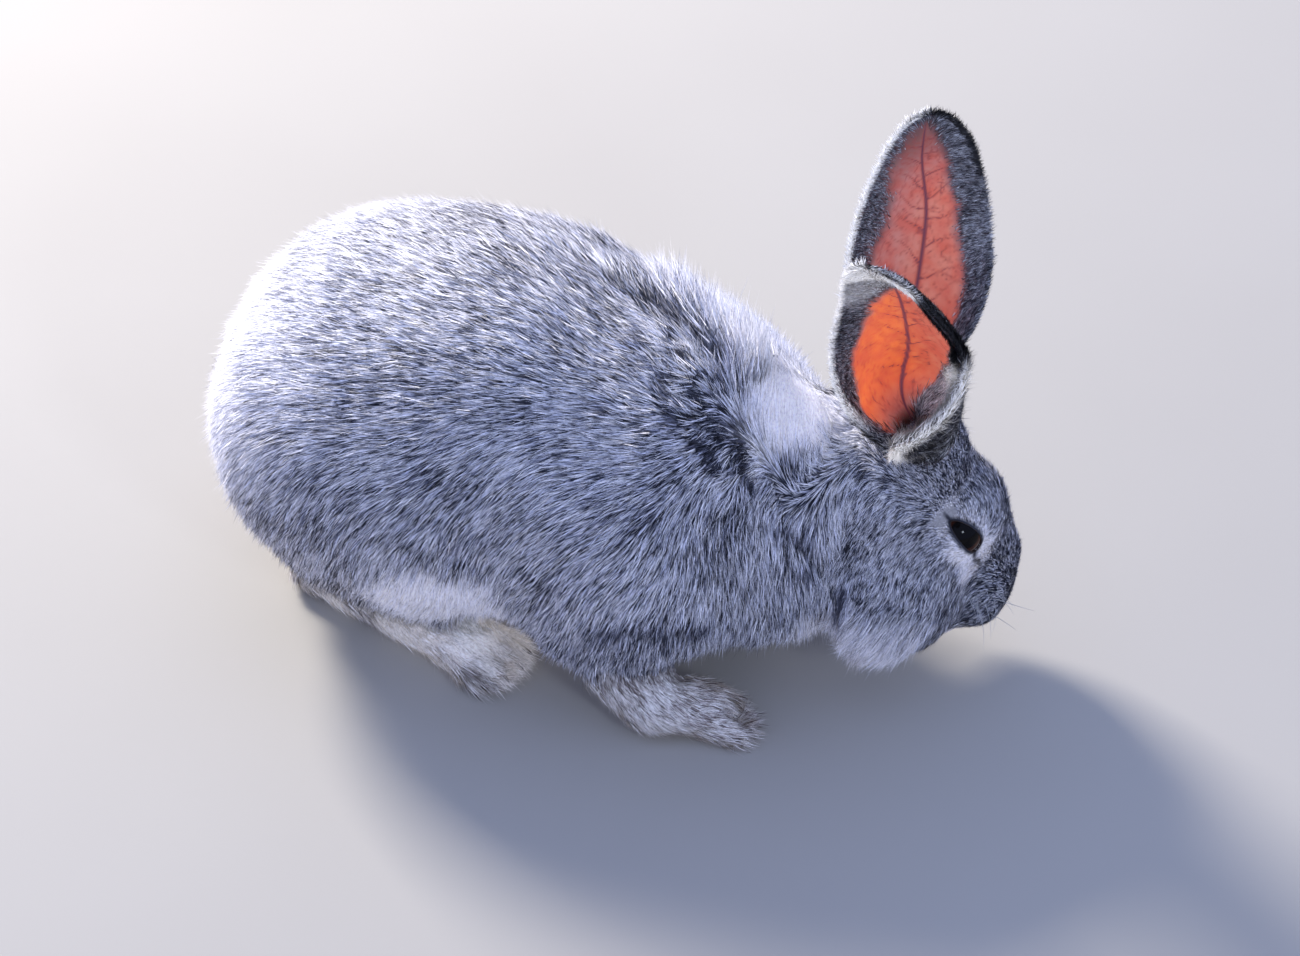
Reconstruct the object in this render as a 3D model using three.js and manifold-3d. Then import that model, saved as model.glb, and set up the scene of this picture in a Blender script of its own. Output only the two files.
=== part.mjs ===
// A large chinchilla-grey rabbit, grazing: crouched on all four feet with its head down and turned
// to its left, and both ears up. Life size, in millimetres. +X is forward, +Y the animal's left,
// +Z up, and the floor is z = 0. The outline is that of the coat.
//
// The body is a field of soft masses blended into one another. The torso and the head are each
// polygonised at a step that suits their detail. The head, feet and tail are cut back to the torso,
// and the neck, thighs and upper arms are parted from it by thin cuts.
import * as THREE from "three";
import Module from "manifold-3d";

const wasm = await Module();
wasm.setup();

// ---- Driving dimensions ----------------------------------------------------------------------
const BACK_HEIGHT = 177; // top of the loins above the floor
const LOIN_RADIUS = 81;
const RUMP_HALF_WIDTH = 83;
const RUMP_X = -84; // middle of the haunches
const CHEST_X = 18; // middle of the chest
const ELBOW_HEIGHT = 46;
const HEAD_LENGTH = 109; // nape joint to the tip of the nose
const EYE_RADIUS = 10.4;
const EAR_ROOT = 15; // height of the furry root that each ear stands on
const EAR_ROOT_RADIUS = 16;
const EAR_LENGTH = 119; // from the top of its root to its tip
const EAR_WALL = 3.6; // with its short fur, at the rib
const FINGER_RADIUS = 5.2; // of each toe of a fore paw
const FINGER_SPREAD = 21; // from its first toe tip to its last
const TOE_RADIUS = 6; // of each toe of a hind foot
const TOE_SPREAD = 25;
const SOLE_SINK = 0.6; // what the floor presses flat of each round underside
const CLAW_LENGTH = 6; // past the fur
const CLAW_RADIUS = 1.8;

const GAP = 0.35; // between neighbouring solids
const GAP_AT_TORSO = 0.7; // between the torso and what stands out of it, over the facets of both
const TORSO_STEP = 15; // steps of the grids that the regions are polygonised on
const HEAD_STEP = 7.5;
const PAW_STEP = 6.2;
const TAIL_STEP = 8;

// The head's pose: where the nape joint is, and which way the nose and the crown point.
const NAPE = point(101, 6, 108);
const MUZZLE_WAY = point(0.46, 0.36, -0.81);
const CROWN_WAY = point(0.5, 0.64, 0.57);
const head = frameFacing(NAPE, MUZZLE_WAY, CROWN_WAY);
const EYE = point(48, 21, 10.8); // middle of the left eye in the head's frame
const side = { right: -1, left: 1 };

// Half widths and wraps are listed at equal steps from an ear's root to its tip. A half width is
// that of the ear spread flat. A wrap is the angle through which each half curls round, in radians.
const ears = {
  right: {
    base: inHead(4.4, -17.5, 26.2),
    way: point(-0.053, -0.378, 0.924).normalize(),
    opening: point(0.093, -0.996, 0),
    halfWidths: [44, 58, 35, 26.5, 25.5],
    wraps: [2.75, 2.4, 1.12, 0.92, 0.62],
    broadest: 0.45, // where it starts to narrow to its tip, as a share of its length
    bow: 1.8, // how far its middle stands aside
    sag: 2.5, // how far its middle leans back
    nod: 17.4, // how far its tip leans forwards
    turn: 0.26, // how much further its left half curls than its right
  },
  left: {
    base: inHead(3, 10, 23.5),
    way: point(0.13, 0.072, 0.989).normalize(),
    opening: point(0.573, -0.819, 0),
    halfWidths: [44, 41, 31, 26.7, 24.3],
    wraps: [2.75, 1.6, 0.75, 0.52, 0.21],
    broadest: 0.33,
    bow: 1.9,
    sag: 7.6,
    nod: 0,
    turn: 0.1,
  },
};
const foreLegs = {
  right: { elbow: point(12, -54, ELBOW_HEIGHT), wrist: point(42, -56, 15), toes: point(73, -46, 0) },
  left: { elbow: point(14, 52, ELBOW_HEIGHT), wrist: point(46, 50, 15), toes: point(79, 42, 0) },
};
const hindFeet = {
  right: { heel: point(-116, -27, 0), toes: point(-27, -51, 0) },
  left: { heel: point(-116, 27, 0), toes: point(-27, 51, 0) },
};

// ---- Small helpers ----------------------------------------------------------------------------
function point(x, y, z) {
  return new THREE.Vector3(x, y, z);
}

// A frame with its X axis along `way` and its Z axis as near `up` as that allows.
function frameFacing(origin, way, up) {
  const x = way.clone().normalize();
  const y = up.clone().cross(x).normalize();
  const z = x.clone().cross(y);
  return new THREE.Matrix4().makeBasis(x, y, z).setPosition(origin);
}

// A frame with its Z axis along `way` and its X axis as near `front` as that allows.
function frameStanding(origin, way, front) {
  const z = way.clone().normalize();
  const y = z.clone().cross(front).normalize();
  const x = y.clone().cross(z);
  return new THREE.Matrix4().makeBasis(x, y, z).setPosition(origin);
}

// A point given in the head's own frame: x towards the nose, y left, z to the crown.
function inHead(x, y, z) {
  return point(x, y, z).applyMatrix4(head);
}

// ---- Masses: each is a function of a point, below 0 inside, and about a distance ---------------
function ball(centre, rx, ry, rz, turn = new THREE.Quaternion()) {
  const back = turn.clone().invert();
  const q = point(0, 0, 0);
  return (p) => {
    q.copy(p).sub(centre).applyQuaternion(back);
    const reach = Math.hypot(q.x / rx, q.y / ry, q.z / rz);
    const slope = Math.hypot(q.x / rx ** 2, q.y / ry ** 2, q.z / rz ** 2);
    return slope > 1e-9 ? (reach * (reach - 1)) / slope : -Math.min(rx, ry, rz);
  };
}

// A limb between two joints, with a radius at each, and flattened in height by `flat`.
function limb(a, ra, b, rb, flat = 1) {
  const way = b.clone().sub(a);
  const squared = way.lengthSq();
  const q = point(0, 0, 0);
  return (p) => {
    q.copy(p).sub(a);
    const t = THREE.MathUtils.clamp(q.dot(way) / squared, 0, 1);
    q.addScaledVector(way, -t);
    q.z /= flat;
    return q.length() - THREE.MathUtils.lerp(ra, rb, t);
  };
}

// The masses joined, each fading into the ones before it over the distance `soft`.
function joined(soft, masses) {
  return (p) => {
    let d = Infinity;
    for (const mass of masses) {
      const e = mass(p);
      const h = Math.max(soft - Math.abs(d - e), 0) / soft;
      d = Math.min(d, e) - (h * h * soft) / 4;
    }
    return d;
  };
}

// ---- Polygonising: surface nets on a grid, then each vertex slid onto the surface ---------------
function gradient(field, p) {
  const e = 0.05;
  const q = point(0, 0, 0);
  const along = (axis) => {
    q.copy(p)[axis] += e;
    const high = field(q);
    q.copy(p)[axis] -= e;
    return (high - field(q)) / (2 * e);
  };
  return point(along("x"), along("y"), along("z"));
}

function slideOnto(field, p, step) {
  for (let i = 0; i < 4; i++) {
    const d = field(p);
    if (Math.abs(d) > step) return; // on the border of the box
    const g = gradient(field, p);
    p.addScaledVector(g, -d / Math.max(g.lengthSq(), 0.05));
  }
}

// The closed surface of a field within a box, outside of which there is nothing.
function surface(field, low, high, step) {
  const size = high.clone().sub(low).divideScalar(step).ceil().addScalar(1);
  const [nx, ny, nz] = size.toArray();
  const index = (i, j, k) => (k * ny + j) * nx + i;
  const place = (i, j, k) => point(i, j, k).multiplyScalar(step).add(low);
  const values = new Float32Array(nx * ny * nz).fill(step);
  for (let k = 1; k < nz - 1; k++)
    for (let j = 1; j < ny - 1; j++)
      for (let i = 1; i < nx - 1; i++) values[index(i, j, k)] = field(place(i, j, k));

  // A cell's corners, numbered by their bits, and its edges as pairs of corners.
  const corners = [...Array(8).keys()].map((c) => [c & 1, (c >> 1) & 1, (c >> 2) & 1]);
  const edges = corners.flatMap((_, c) =>
    [1, 2, 4].filter((bit) => !(c & bit)).map((bit) => [c, c | bit]),
  );
  const vertexOf = new Map();
  const vertices = [];
  for (let k = 0; k < nz - 1; k++)
    for (let j = 0; j < ny - 1; j++)
      for (let i = 0; i < nx - 1; i++) {
        const v = corners.map(([a, b, c]) => values[index(i + a, j + b, k + c)]);
        if (v.every((x) => x < 0) || v.every((x) => x >= 0)) continue;
        const sum = point(0, 0, 0);
        let count = 0;
        for (const [a, b] of edges) {
          if (v[a] < 0 === v[b] < 0) continue;
          const [from, to] = [a, b].map((c) => {
            const [x, y, z] = corners[c];
            return place(i + x, j + y, k + z);
          });
          sum.add(from.lerp(to, v[a] / (v[a] - v[b])));
          count++;
        }
        const p = sum.divideScalar(count);
        slideOnto(field, p, step);
        vertexOf.set(index(i, j, k), vertices.length);
        vertices.push(p);
      }

  const triangles = [];
  const quad = (a, b, c, d) => {
    const [p, q, r, s] = [a, b, c, d].map((n) => vertices[n]);
    if (p.distanceToSquared(r) < q.distanceToSquared(s)) triangles.push(a, b, c, a, c, d);
    else triangles.push(a, b, d, b, c, d);
  };
  const stride = [index(1, 0, 0), index(0, 1, 0), index(0, 0, 1)];
  for (let k = 0; k < nz - 1; k++)
    for (let j = 0; j < ny - 1; j++)
      for (let i = 0; i < nx - 1; i++)
        for (let axis = 0; axis < 3; axis++) {
          const here = index(i, j, k);
          const inside = values[here] < 0;
          if (inside === values[here + stride[axis]] < 0) continue;
          const [u, w] = [stride[(axis + 1) % 3], stride[(axis + 2) % 3]];
          const around = [here - u - w, here - w, here, here - u].map((n) => vertexOf.get(n));
          if (inside) quad(...around);
          else quad(...around.reverse());
        }
  return solid(vertices, triangles);
}

function solid(vertices, triangles) {
  return new wasm.Manifold(
    new wasm.Mesh({
      numProp: 3,
      vertProperties: new Float32Array(vertices.flatMap((p) => p.toArray())),
      triVerts: new Uint32Array(triangles),
    }),
  );
}

// A three.js geometry, moved by a matrix, as a solid.
function solidOf(geometry, matrix = new THREE.Matrix4()) {
  const moved = geometry.clone().applyMatrix4(matrix);
  const seen = new Map();
  const vertices = [];
  const vertexAt = (n) => {
    const p = point(0, 0, 0).fromBufferAttribute(moved.attributes.position, n);
    const key = p.toArray().map((x) => Math.round(x * 1e4)).join();
    if (!seen.has(key)) {
      seen.set(key, vertices.length);
      vertices.push(p);
    }
    return seen.get(key);
  };
  const order = moved.index ? [...moved.index.array] : [...moved.attributes.position.array.keys()];
  const triangles = [];
  for (let i = 0; i < order.length; i += 3) {
    const [a, b, c] = order.slice(i, i + 3).map(vertexAt);
    if (a !== b && b !== c && c !== a) triangles.push(a, b, c);
  }
  return solid(vertices, triangles);
}

function geometryOf(made) {
  const mesh = made.getMesh();
  const positions = new Float32Array(mesh.numVert * 3);
  for (let i = 0; i < mesh.numVert; i++)
    positions.set(mesh.vertProperties.subarray(i * mesh.numProp, i * mesh.numProp + 3), i * 3);
  const geometry = new THREE.BufferGeometry();
  geometry.setAttribute("position", new THREE.BufferAttribute(positions, 3));
  geometry.setIndex(new THREE.BufferAttribute(new Uint32Array(mesh.triVerts), 1));
  geometry.computeVertexNormals();
  return geometry;
}

// The largest body of a cut solid: a cut through a curved surface can leave crumbs.
function largest(made) {
  return made.decompose().reduce((a, b) => (b.volume() > a.volume() ? b : a));
}

// ---- Cutters ----------------------------------------------------------------------------------
const FAR = 600;

// All space on the side of a plane that `way` points to. The plane is `start` beyond the point `at`.
function halfSpace(at, way, start = 0) {
  const z = way.clone().normalize();
  const turn = new THREE.Quaternion().setFromUnitVectors(point(0, 0, 1), z);
  const centre = at.clone().addScaledVector(z, start + FAR / 2);
  return solidOf(
    new THREE.BoxGeometry(FAR, FAR, FAR),
    new THREE.Matrix4().compose(centre, turn, point(1, 1, 1)),
  );
}

function eggSolid({ centre, radii, turn = new THREE.Quaternion() }, grow = 0) {
  return solidOf(
    new THREE.SphereGeometry(1, 18, 11),
    new THREE.Matrix4().compose(centre, turn, radii.clone().addScalar(grow)),
  );
}

// ---- The torso, neck and head: one field --------------------------------------------------------
function haunch(s) {
  const lean = new THREE.Quaternion().setFromEuler(new THREE.Euler(s * -0.12, 0.3, s * 0.08));
  return [
    ball(point(RUMP_X + 4, s * 44, 82), 70, 42, 48, lean),
    limb(point(RUMP_X + 20, s * 42, 46), 22, point(RUMP_X - 30, s * 32, 32), 16),
  ];
}

function shoulder(s) {
  return [
    ball(point(CHEST_X + 14, s * 46, 76), 42, 30, 46),
    limb(point(CHEST_X + 8, s * 50, 64), 26, point(CHEST_X - 2, s * 55, ELBOW_HEIGHT), 21),
  ];
}

function torsoMasses() {
  return [
    ball(point(RUMP_X - 2, 0, 88), 77, RUMP_HALF_WIDTH, 80),
    ball(point(-38, 0, BACK_HEIGHT - LOIN_RADIUS), 76, 79, LOIN_RADIUS), // loins
    ball(point(CHEST_X, 0, 87), 68, 70, 73),
    ...haunch(side.right),
    ...haunch(side.left),
    ...shoulder(side.right),
    ...shoulder(side.left),
  ];
}

function neckMasses() {
  return [
    limb(point(40, 0, 87), 65, point(82, 6, 97), 35),
    ball(point(68, 3, 60), 44, 42, 43), // chest ruff
  ];
}

function headMasses() {
  const turn = new THREE.Quaternion().setFromRotationMatrix(head);
  const mass = (x, y, z, rx, ry, rz) => ball(inHead(x, y, z), rx, ry, rz, turn);
  const pair = (x, y, z, rx, ry, rz) => [mass(x, y, z, rx, ry, rz), mass(x, -y, z, rx, ry, rz)];
  return [
    mass(24, 0, 4, 36, 32, 36), // braincase
    mass(54, 0, 9, 30, 28, 30), // forehead
    mass(80, 0, 5, 24, 20, 24), // bridge of the nose
    mass(HEAD_LENGTH - 11, 0, 2, 11, 11, 11), // nose
    ...pair(91, 9, -5, 13, 12, 12), // whisker pads
    ...pair(52, 17, -23, 32, 18, 28), // cheeks
    mass(72, 0, -21, 25, 17, 18), // jaw
    mass(88, 0, -16, 9, 9, 9), // chin
    ...pair(48, 19.5, 20, 15, 9, 10), // brows
  ];
}

function earRoots() {
  return Object.values(ears).map(({ base, way }) => {
    const below = base.clone().addScaledVector(way, -8);
    const top = base.clone().addScaledVector(way, EAR_ROOT);
    return limb(below, 19, top, EAR_ROOT_RADIUS);
  });
}

const torsoField = joined(20, [joined(22, torsoMasses()), ...neckMasses()]);
const headField = joined(7, [joined(9, headMasses()), ...earRoots()]);

// ---- Limbs, tail, ears, eyes and claws ------------------------------------------------------------
// Toe tips fan out from the middle of the paw's front.
function toeTips(from, to, count, spread) {
  const way = to.clone().sub(from).setZ(0).normalize();
  const across = point(-way.y, way.x, 0);
  return [...Array(count).keys()].map((n) => {
    const share = n / (count - 1) - 0.5;
    const tip = to.clone().addScaledVector(across, share * spread);
    return tip.addScaledVector(way, -Math.abs(share) * spread * 0.35);
  });
}

// A point as high above the floor as lets a limb of this radius press on it.
function standing(at, radius) {
  return at.clone().setZ(radius - SOLE_SINK);
}

function foreLegField({ elbow, wrist, toes }) {
  const flat = 0.85;
  const knuckles = standing(toes.clone().lerp(wrist, 0.42), 12.5 * flat);
  const tips = toeTips(wrist, standing(toes, FINGER_RADIUS), 4, FINGER_SPREAD);
  return joined(5, [
    limb(elbow, 19, wrist, 13.5),
    limb(wrist, 13.5, knuckles, 12.5, flat),
    ...tips.map((tip) => limb(knuckles, 8, tip, FINGER_RADIUS)),
  ]);
}

function hindFootField({ heel, toes }) {
  const flat = 0.85;
  const pads = standing(toes.clone().lerp(heel, 0.27), 15 * flat);
  const tips = toeTips(heel, standing(toes, TOE_RADIUS), 4, TOE_SPREAD);
  return joined(5, [
    limb(standing(heel, 12.5 * flat), 12.5, pads, 15, flat),
    ...tips.map((tip) => limb(pads, 9, tip, TOE_RADIUS)),
  ]);
}

const TAIL_BEND = point(-157, 5, 68);
const tailField = joined(8, [
  limb(point(-148, 3, 50), 14, TAIL_BEND, 14),
  limb(TAIL_BEND, 14, point(-155, 6, 90), 8),
]);

// An ear as a closed shell. In its own frame it stands along +Z and opens to +X. Its section is
// an arc, nearly a whole turn at the root and open towards the tip.
function earGeometry({ halfWidths, wraps, broadest, bow, sag, nod, turn }) {
  const RINGS = 14;
  const ACROSS = 10;
  const { smoothstep, lerp } = THREE.MathUtils;
  const curve = (list) => new THREE.SplineCurve(list.map((v, n) => new THREE.Vector2(n, v)));
  const widthCurve = curve(halfWidths);
  const wrapCurve = curve(wraps);
  const rings = [];
  for (let r = 0; r <= RINGS; r++) {
    const u = r / RINGS;
    const tipward = Math.max(u - broadest, 0) / (1 - broadest);
    const half = widthCurve.getPoint(u).y * Math.sqrt(Math.max(1 - tipward ** 2, 0.006));
    const wrap = wrapCurve.getPoint(u).y;
    const radius = half / wrap;
    const solid = lerp(0.93 * EAR_ROOT_RADIUS, EAR_WALL, smoothstep(u, 0, 0.16));
    const wall = solid * lerp(1, 0.6, smoothstep(u, 0.8, 1));
    const back = -EAR_ROOT_RADIUS - sag * Math.sin(0.9 * Math.PI * u) + nod * u ** 2;
    const aside = bow * Math.sin(Math.PI * u);
    const height = EAR_LENGTH * lerp(u, Math.sin((Math.PI / 2) * u), 0.35);
    const turned = turn * smoothstep(u, 0, 0.25);
    const outer = [];
    const inner = [];
    for (let a = 0; a <= ACROSS; a++) {
      const share = (2 * a) / ACROSS - 1;
      const angle = wrap * (share + turned * share ** 2);
      const thickness = Math.min(wall * lerp(1, 0.55, Math.abs(share) ** 3), 0.93 * radius);
      const spot = (from) =>
        point(back + radius - from * Math.cos(angle), aside + from * Math.sin(angle), height);
      outer.push(spot(radius));
      inner.push(spot(radius - thickness));
    }
    rings.push([...outer, ...inner.reverse()]);
  }
  return loft(rings, ACROSS + 1);
}

// A closed mesh through rings of equal count. Each ring is a strip: `across` points out, and back.
function loft(rings, across) {
  const count = rings[0].length;
  const positions = rings.flat().flatMap((p) => p.toArray());
  const triangles = [];
  for (let low = 0; low + count < positions.length / 3; low += count)
    for (let i = 0; i < count; i++) {
      const next = (i + 1) % count;
      const [a, b, c, d] = [low + i, low + next, low + count + next, low + count + i];
      triangles.push(a, c, b, a, d, c);
    }
  const lid = (r, flip) => {
    for (let i = 0; i + 1 < across; i++) {
      const [a, b] = [r * count + i, r * count + i + 1];
      const [c, d] = [r * count + count - 2 - i, r * count + count - 1 - i];
      triangles.push(...(flip ? [a, c, b, a, d, c] : [a, b, c, a, c, d]));
    }
  };
  lid(0, false);
  lid(rings.length - 1, true);
  const geometry = new THREE.BufferGeometry();
  geometry.setAttribute("position", new THREE.Float32BufferAttribute(positions, 3));
  geometry.setIndex(triangles);
  geometry.computeVertexNormals();
  return geometry;
}

// A claw: a cone bent downwards. It starts at its root, runs along +X and curls towards -Z.
function clawGeometry(length, radius) {
  const profile = [
    new THREE.Vector2(0, 0),
    new THREE.Vector2(radius, 0),
    new THREE.Vector2(radius * 0.72, length * 0.45),
    new THREE.Vector2(radius * 0.36, length * 0.8),
    new THREE.Vector2(0, length),
  ];
  const geometry = new THREE.LatheGeometry(profile, 6);
  geometry.rotateZ(-Math.PI / 2);
  const place = geometry.attributes.position;
  for (let n = 0; n < place.count; n++) {
    const t = place.getX(n) / length;
    place.setZ(n, place.getZ(n) - length * 0.28 * t * t);
  }
  return geometry;
}

// ---- Materials ------------------------------------------------------------------------------------
function material(colour, roughness = 0.9, metalness = 0) {
  return new THREE.MeshStandardMaterial({ color: colour, roughness, metalness });
}
const coat = material(0x9a9aa0);
const paleCoat = material(0xb4aca8);
const tailCoat = material(0x77777c);
const earSkin = material(0xb27466, 0.7);
const eyeDark = material(0x1c0f0a, 0.1);
const horn = material(0x3c322c, 0.5);

// ---- Assembly ---------------------------------------------------------------------------------------
const rabbit = new THREE.Group();

function add(name, made, look) {
  const mesh = new THREE.Mesh(geometryOf(made), look.clone());
  mesh.name = name;
  rabbit.add(mesh);
}

function addPlaced(name, geometry, look, matrix) {
  const mesh = new THREE.Mesh(geometry, look.clone());
  mesh.name = name;
  matrix.decompose(mesh.position, mesh.quaternion, mesh.scale);
  rabbit.add(mesh);
}

const torsoBox = [point(-196, -112, -20), point(150, 112, 200)];
const torso = surface(torsoField, ...torsoBox, TORSO_STEP);
const torsoMould = surface((p) => torsoField(p) - GAP_AT_TORSO, ...torsoBox, TORSO_STEP);

// A piece that stands out of the torso, cut back to it.
function outgrowth(field, low, high, step) {
  return largest(surface(field, low, high, step).subtract(torsoMould));
}

// The paws stand on the floor, their undersides pressed flat.
const belowFloor = halfSpace(point(0, 0, 0), point(0, 0, -1));
function paw(field, low, high) {
  return largest(outgrowth(field, low, high, PAW_STEP).subtract(belowFloor));
}

function addClaws(name, from, to, radius, spread, length) {
  toeTips(from, standing(to, radius), 4, spread).forEach((tip, n) => {
    const way = tip.clone().sub(from).setZ(0).normalize();
    const root = tip.clone().addScaledVector(way, radius + GAP);
    const matrix = frameFacing(root, way, point(0, 0, 1));
    addPlaced(`${name}_claw_${n + 1}`, clawGeometry(length, CLAW_RADIUS), horn, matrix);
  });
}

for (const [name, s] of Object.entries(side)) {
  const [low, high] = s > 0 ? [4, 88] : [-88, -4];
  const leg = foreLegs[name];
  const foreLeg = paw(foreLegField(leg), point(-18, low, -14), point(112, high, 78));
  add(`foreleg_${name}`, foreLeg, paleCoat);
  addClaws(`forefoot_${name}`, leg.wrist, leg.toes, FINGER_RADIUS, FINGER_SPREAD, 0.8 * CLAW_LENGTH);
  const foot = hindFeet[name];
  const hindFoot = paw(hindFootField(foot), point(-150, low, -14), point(12, high, 44));
  add(`hindfoot_${name}`, hindFoot, paleCoat);
  addClaws(`hindfoot_${name}`, foot.heel, foot.toes, TOE_RADIUS, TOE_SPREAD, CLAW_LENGTH);
}
add("tail", outgrowth(tailField, point(-190, -30, 20), point(-120, 40, 120), TAIL_STEP), tailCoat);

// The head, with sockets for the eyes, and the ears on the flat tops of their roots.
let skull = outgrowth(headField, point(60, -50, -10), point(180, 90, 180), HEAD_STEP);
for (const [name, s] of Object.entries(side)) {
  const centre = inHead(EYE.x, s * EYE.y, EYE.z);
  const radii = point(1, 1, 1).setScalar(EYE_RADIUS);
  skull = skull.subtract(eggSolid({ centre, radii }, GAP));
  const eyeball = new THREE.SphereGeometry(EYE_RADIUS, 16, 10);
  addPlaced(`eye_${name}`, eyeball, eyeDark, new THREE.Matrix4().setPosition(centre));

  const { base, way, opening } = ears[name];
  const seat = frameStanding(base.clone().addScaledVector(way, EAR_ROOT), way, opening);
  const above = new THREE.CylinderGeometry(22, 22, 40, 16).rotateX(Math.PI / 2);
  skull = skull.subtract(solidOf(above.translate(0, 0, 20 - GAP), seat));
  addPlaced(`ear_${name}`, earGeometry(ears[name]), earSkin, seat);
}
add("head", largest(skull), coat);

// A thin plane cut at the collar parts the neck from the trunk. Each thigh and each upper arm is
// parted from the trunk by an egg-shaped cut.
const collar = { at: point(70, 0, 88), way: point(0.97, 0.06, 0.1).normalize() };
const behindCollar = halfSpace(collar.at, collar.way.clone().negate(), -GAP);
add("neck", largest(torso.subtract(behindCollar)), coat);
let trunk = torso.subtract(halfSpace(collar.at, collar.way));
for (const [name, s] of Object.entries(side)) {
  const thigh = {
    centre: point(RUMP_X + 4, s * 82, 62),
    radii: point(72, 48, 56),
    turn: new THREE.Quaternion().setFromEuler(new THREE.Euler(0, 0.32, 0)),
  };
  const arm = { centre: point(CHEST_X + 8, s * 76, 66), radii: point(37, 40, 46) };
  add(`thigh_${name}`, largest(trunk.intersect(eggSolid(thigh))), coat);
  add(`upper_arm_${name}`, largest(trunk.intersect(eggSolid(arm))), coat);
  trunk = trunk.subtract(eggSolid(thigh, GAP)).subtract(eggSolid(arm, GAP));
}
add("trunk", largest(trunk), coat);

// The frame's origin is the middle of the model's footprint, on the floor.
rabbit.updateMatrixWorld(true);
const bounds = new THREE.Box3().setFromObject(rabbit, true);
const middle = bounds.getCenter(point(0, 0, 0));
rabbit.position.set(-middle.x, -middle.y, -bounds.min.z);

export default rabbit;
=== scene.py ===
"""A large chinchilla-grey rabbit, grazing: skin, coat, ears, eyes, claws and whiskers.

Everything is in metres in the frame of the solids: +X forward, +Y the animal's left, +Z up, floor at z = 0.
The skin is one mesh that lies under the solids' outline by the depth of the coat. The coat is thin curved
tufts that grow from it, each tapering to a point, and their tips reach the outline.
"""

import bmesh
import bpy
import numpy as np
from mathutils import Matrix, Vector, kdtree


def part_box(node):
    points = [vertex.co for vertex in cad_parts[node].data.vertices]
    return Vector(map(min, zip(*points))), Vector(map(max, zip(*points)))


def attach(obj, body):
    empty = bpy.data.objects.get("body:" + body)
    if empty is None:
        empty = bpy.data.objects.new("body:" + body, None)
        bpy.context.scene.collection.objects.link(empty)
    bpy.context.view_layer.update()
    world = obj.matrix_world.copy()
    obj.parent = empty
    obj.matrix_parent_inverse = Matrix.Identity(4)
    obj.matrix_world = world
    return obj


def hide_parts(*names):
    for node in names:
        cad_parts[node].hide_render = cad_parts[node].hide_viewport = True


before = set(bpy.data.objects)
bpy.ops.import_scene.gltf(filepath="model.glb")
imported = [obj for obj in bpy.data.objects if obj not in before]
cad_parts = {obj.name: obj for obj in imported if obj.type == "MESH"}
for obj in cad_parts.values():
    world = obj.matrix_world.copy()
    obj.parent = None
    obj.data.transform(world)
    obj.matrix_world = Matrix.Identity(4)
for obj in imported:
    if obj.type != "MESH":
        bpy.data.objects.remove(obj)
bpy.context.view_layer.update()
rng = np.random.default_rng(7)

# ---- Driving sizes ----
MM = 0.001
VOXEL = 2.2 * MM  # edge of the skin's mesh on the body, halved on the head and paws
TUFTS = 540_000
HAIRS = 370_000
MOST_TRIANGLES = 190_000  # in one piece of coat
PATCH = 0.003  # side of a tuft's patch in the OFBake map, laid out for colours
SIDES = {"right": -1, "left": 1}

EYE_IN_HEAD = np.array([48.0, 21.0, 10.8]) * MM  # left eye: to the nose, to the left, to the crown
MUZZLE_WAY = np.array([0.46, 0.36, -0.81])
CROWN_WAY = np.array([0.5, 0.64, 0.57])
EYE_RADIUS = 10.4 * MM
LID_THICKNESS = 0.8 * MM
ROUND_EYE = 2.2 * EYE_RADIUS  # how far the shape and the markings of the lids reach
LID_BEAD = (0.35 * MM, 0.42 * MM)  # half the height and width of the lids' wet edge
REAR_CORNER, FRONT_CORNER = -56.0, 56.0  # of the opening between the lids, in degrees round the eyeball
UPPER_LID, LOWER_LID = 27.0, -17.0

EAR_ROOT = 15 * MM
EAR_ROOT_RADIUS = 16 * MM
EAR_LENGTH = 119 * MM
EAR_WALL = 3.6 * MM
EAR_BARE = {"edge": 1.4 * MM, "face": 0.9 * MM}  # what the short fur takes off the solid's edges and faces
# Half widths and wraps are at equal steps from root to tip, as in the solids.
EARS = {
    "right": {
        "base": (4.4, -17.5, 26.2), "way": (-0.053, -0.378, 0.924), "opening": (0.093, -0.996, 0),
        "halves": (44, 58, 35, 26.5, 25.5), "wraps": (2.75, 2.4, 1.12, 0.92, 0.62), "broadest": 0.45,
        "bow": 1.8, "sag": 2.5, "nod": 17.4, "turn": 0.26,
        "vein": (-18, -7.5, -2, 0, 1.5, 3, 4, 4, 3),
    },
    "left": {
        "base": (3, 10, 23.5), "way": (0.13, 0.072, 0.989), "opening": (0.573, -0.819, 0),
        "halves": (44, 41, 31, 26.7, 24.3), "wraps": (2.75, 1.6, 0.75, 0.52, 0.21), "broadest": 0.33,
        "bow": 1.9, "sag": 7.6, "nod": 0, "turn": 0.1, "vein": (10, 8.5, 6, -1, -2),
    },
}

# The coat on each part: depth over the skin, length of a tuft, its width, its lift in degrees at the
# root, and how many tufts grow on a square millimetre, before all are scaled to TUFTS.
COAT = {
    "trunk": (6.5, 10.5, 0.56, 32, 2.7),
    "neck": (7.0, 12.0, 0.60, 36, 3.0),
    "thigh": (6.5, 10.5, 0.56, 32, 2.7),
    "upper_arm": (6.0, 10.5, 0.58, 32, 2.8),
    "head": (3.0, 5.6, 0.38, 30, 7.5),
    "foreleg": (3.0, 8.0, 0.55, 36, 5.0),
    "hindfoot": (2.8, 8.0, 0.55, 36, 5.0),
    "tail": (5.0, 12.0, 0.85, 40, 3.0),
}
PARTS = [
    "trunk", "neck", "head", "tail",
    *(f"{part}_{side}" for part in ("thigh", "upper_arm", "foreleg", "hindfoot") for side in SIDES),
]


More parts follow.
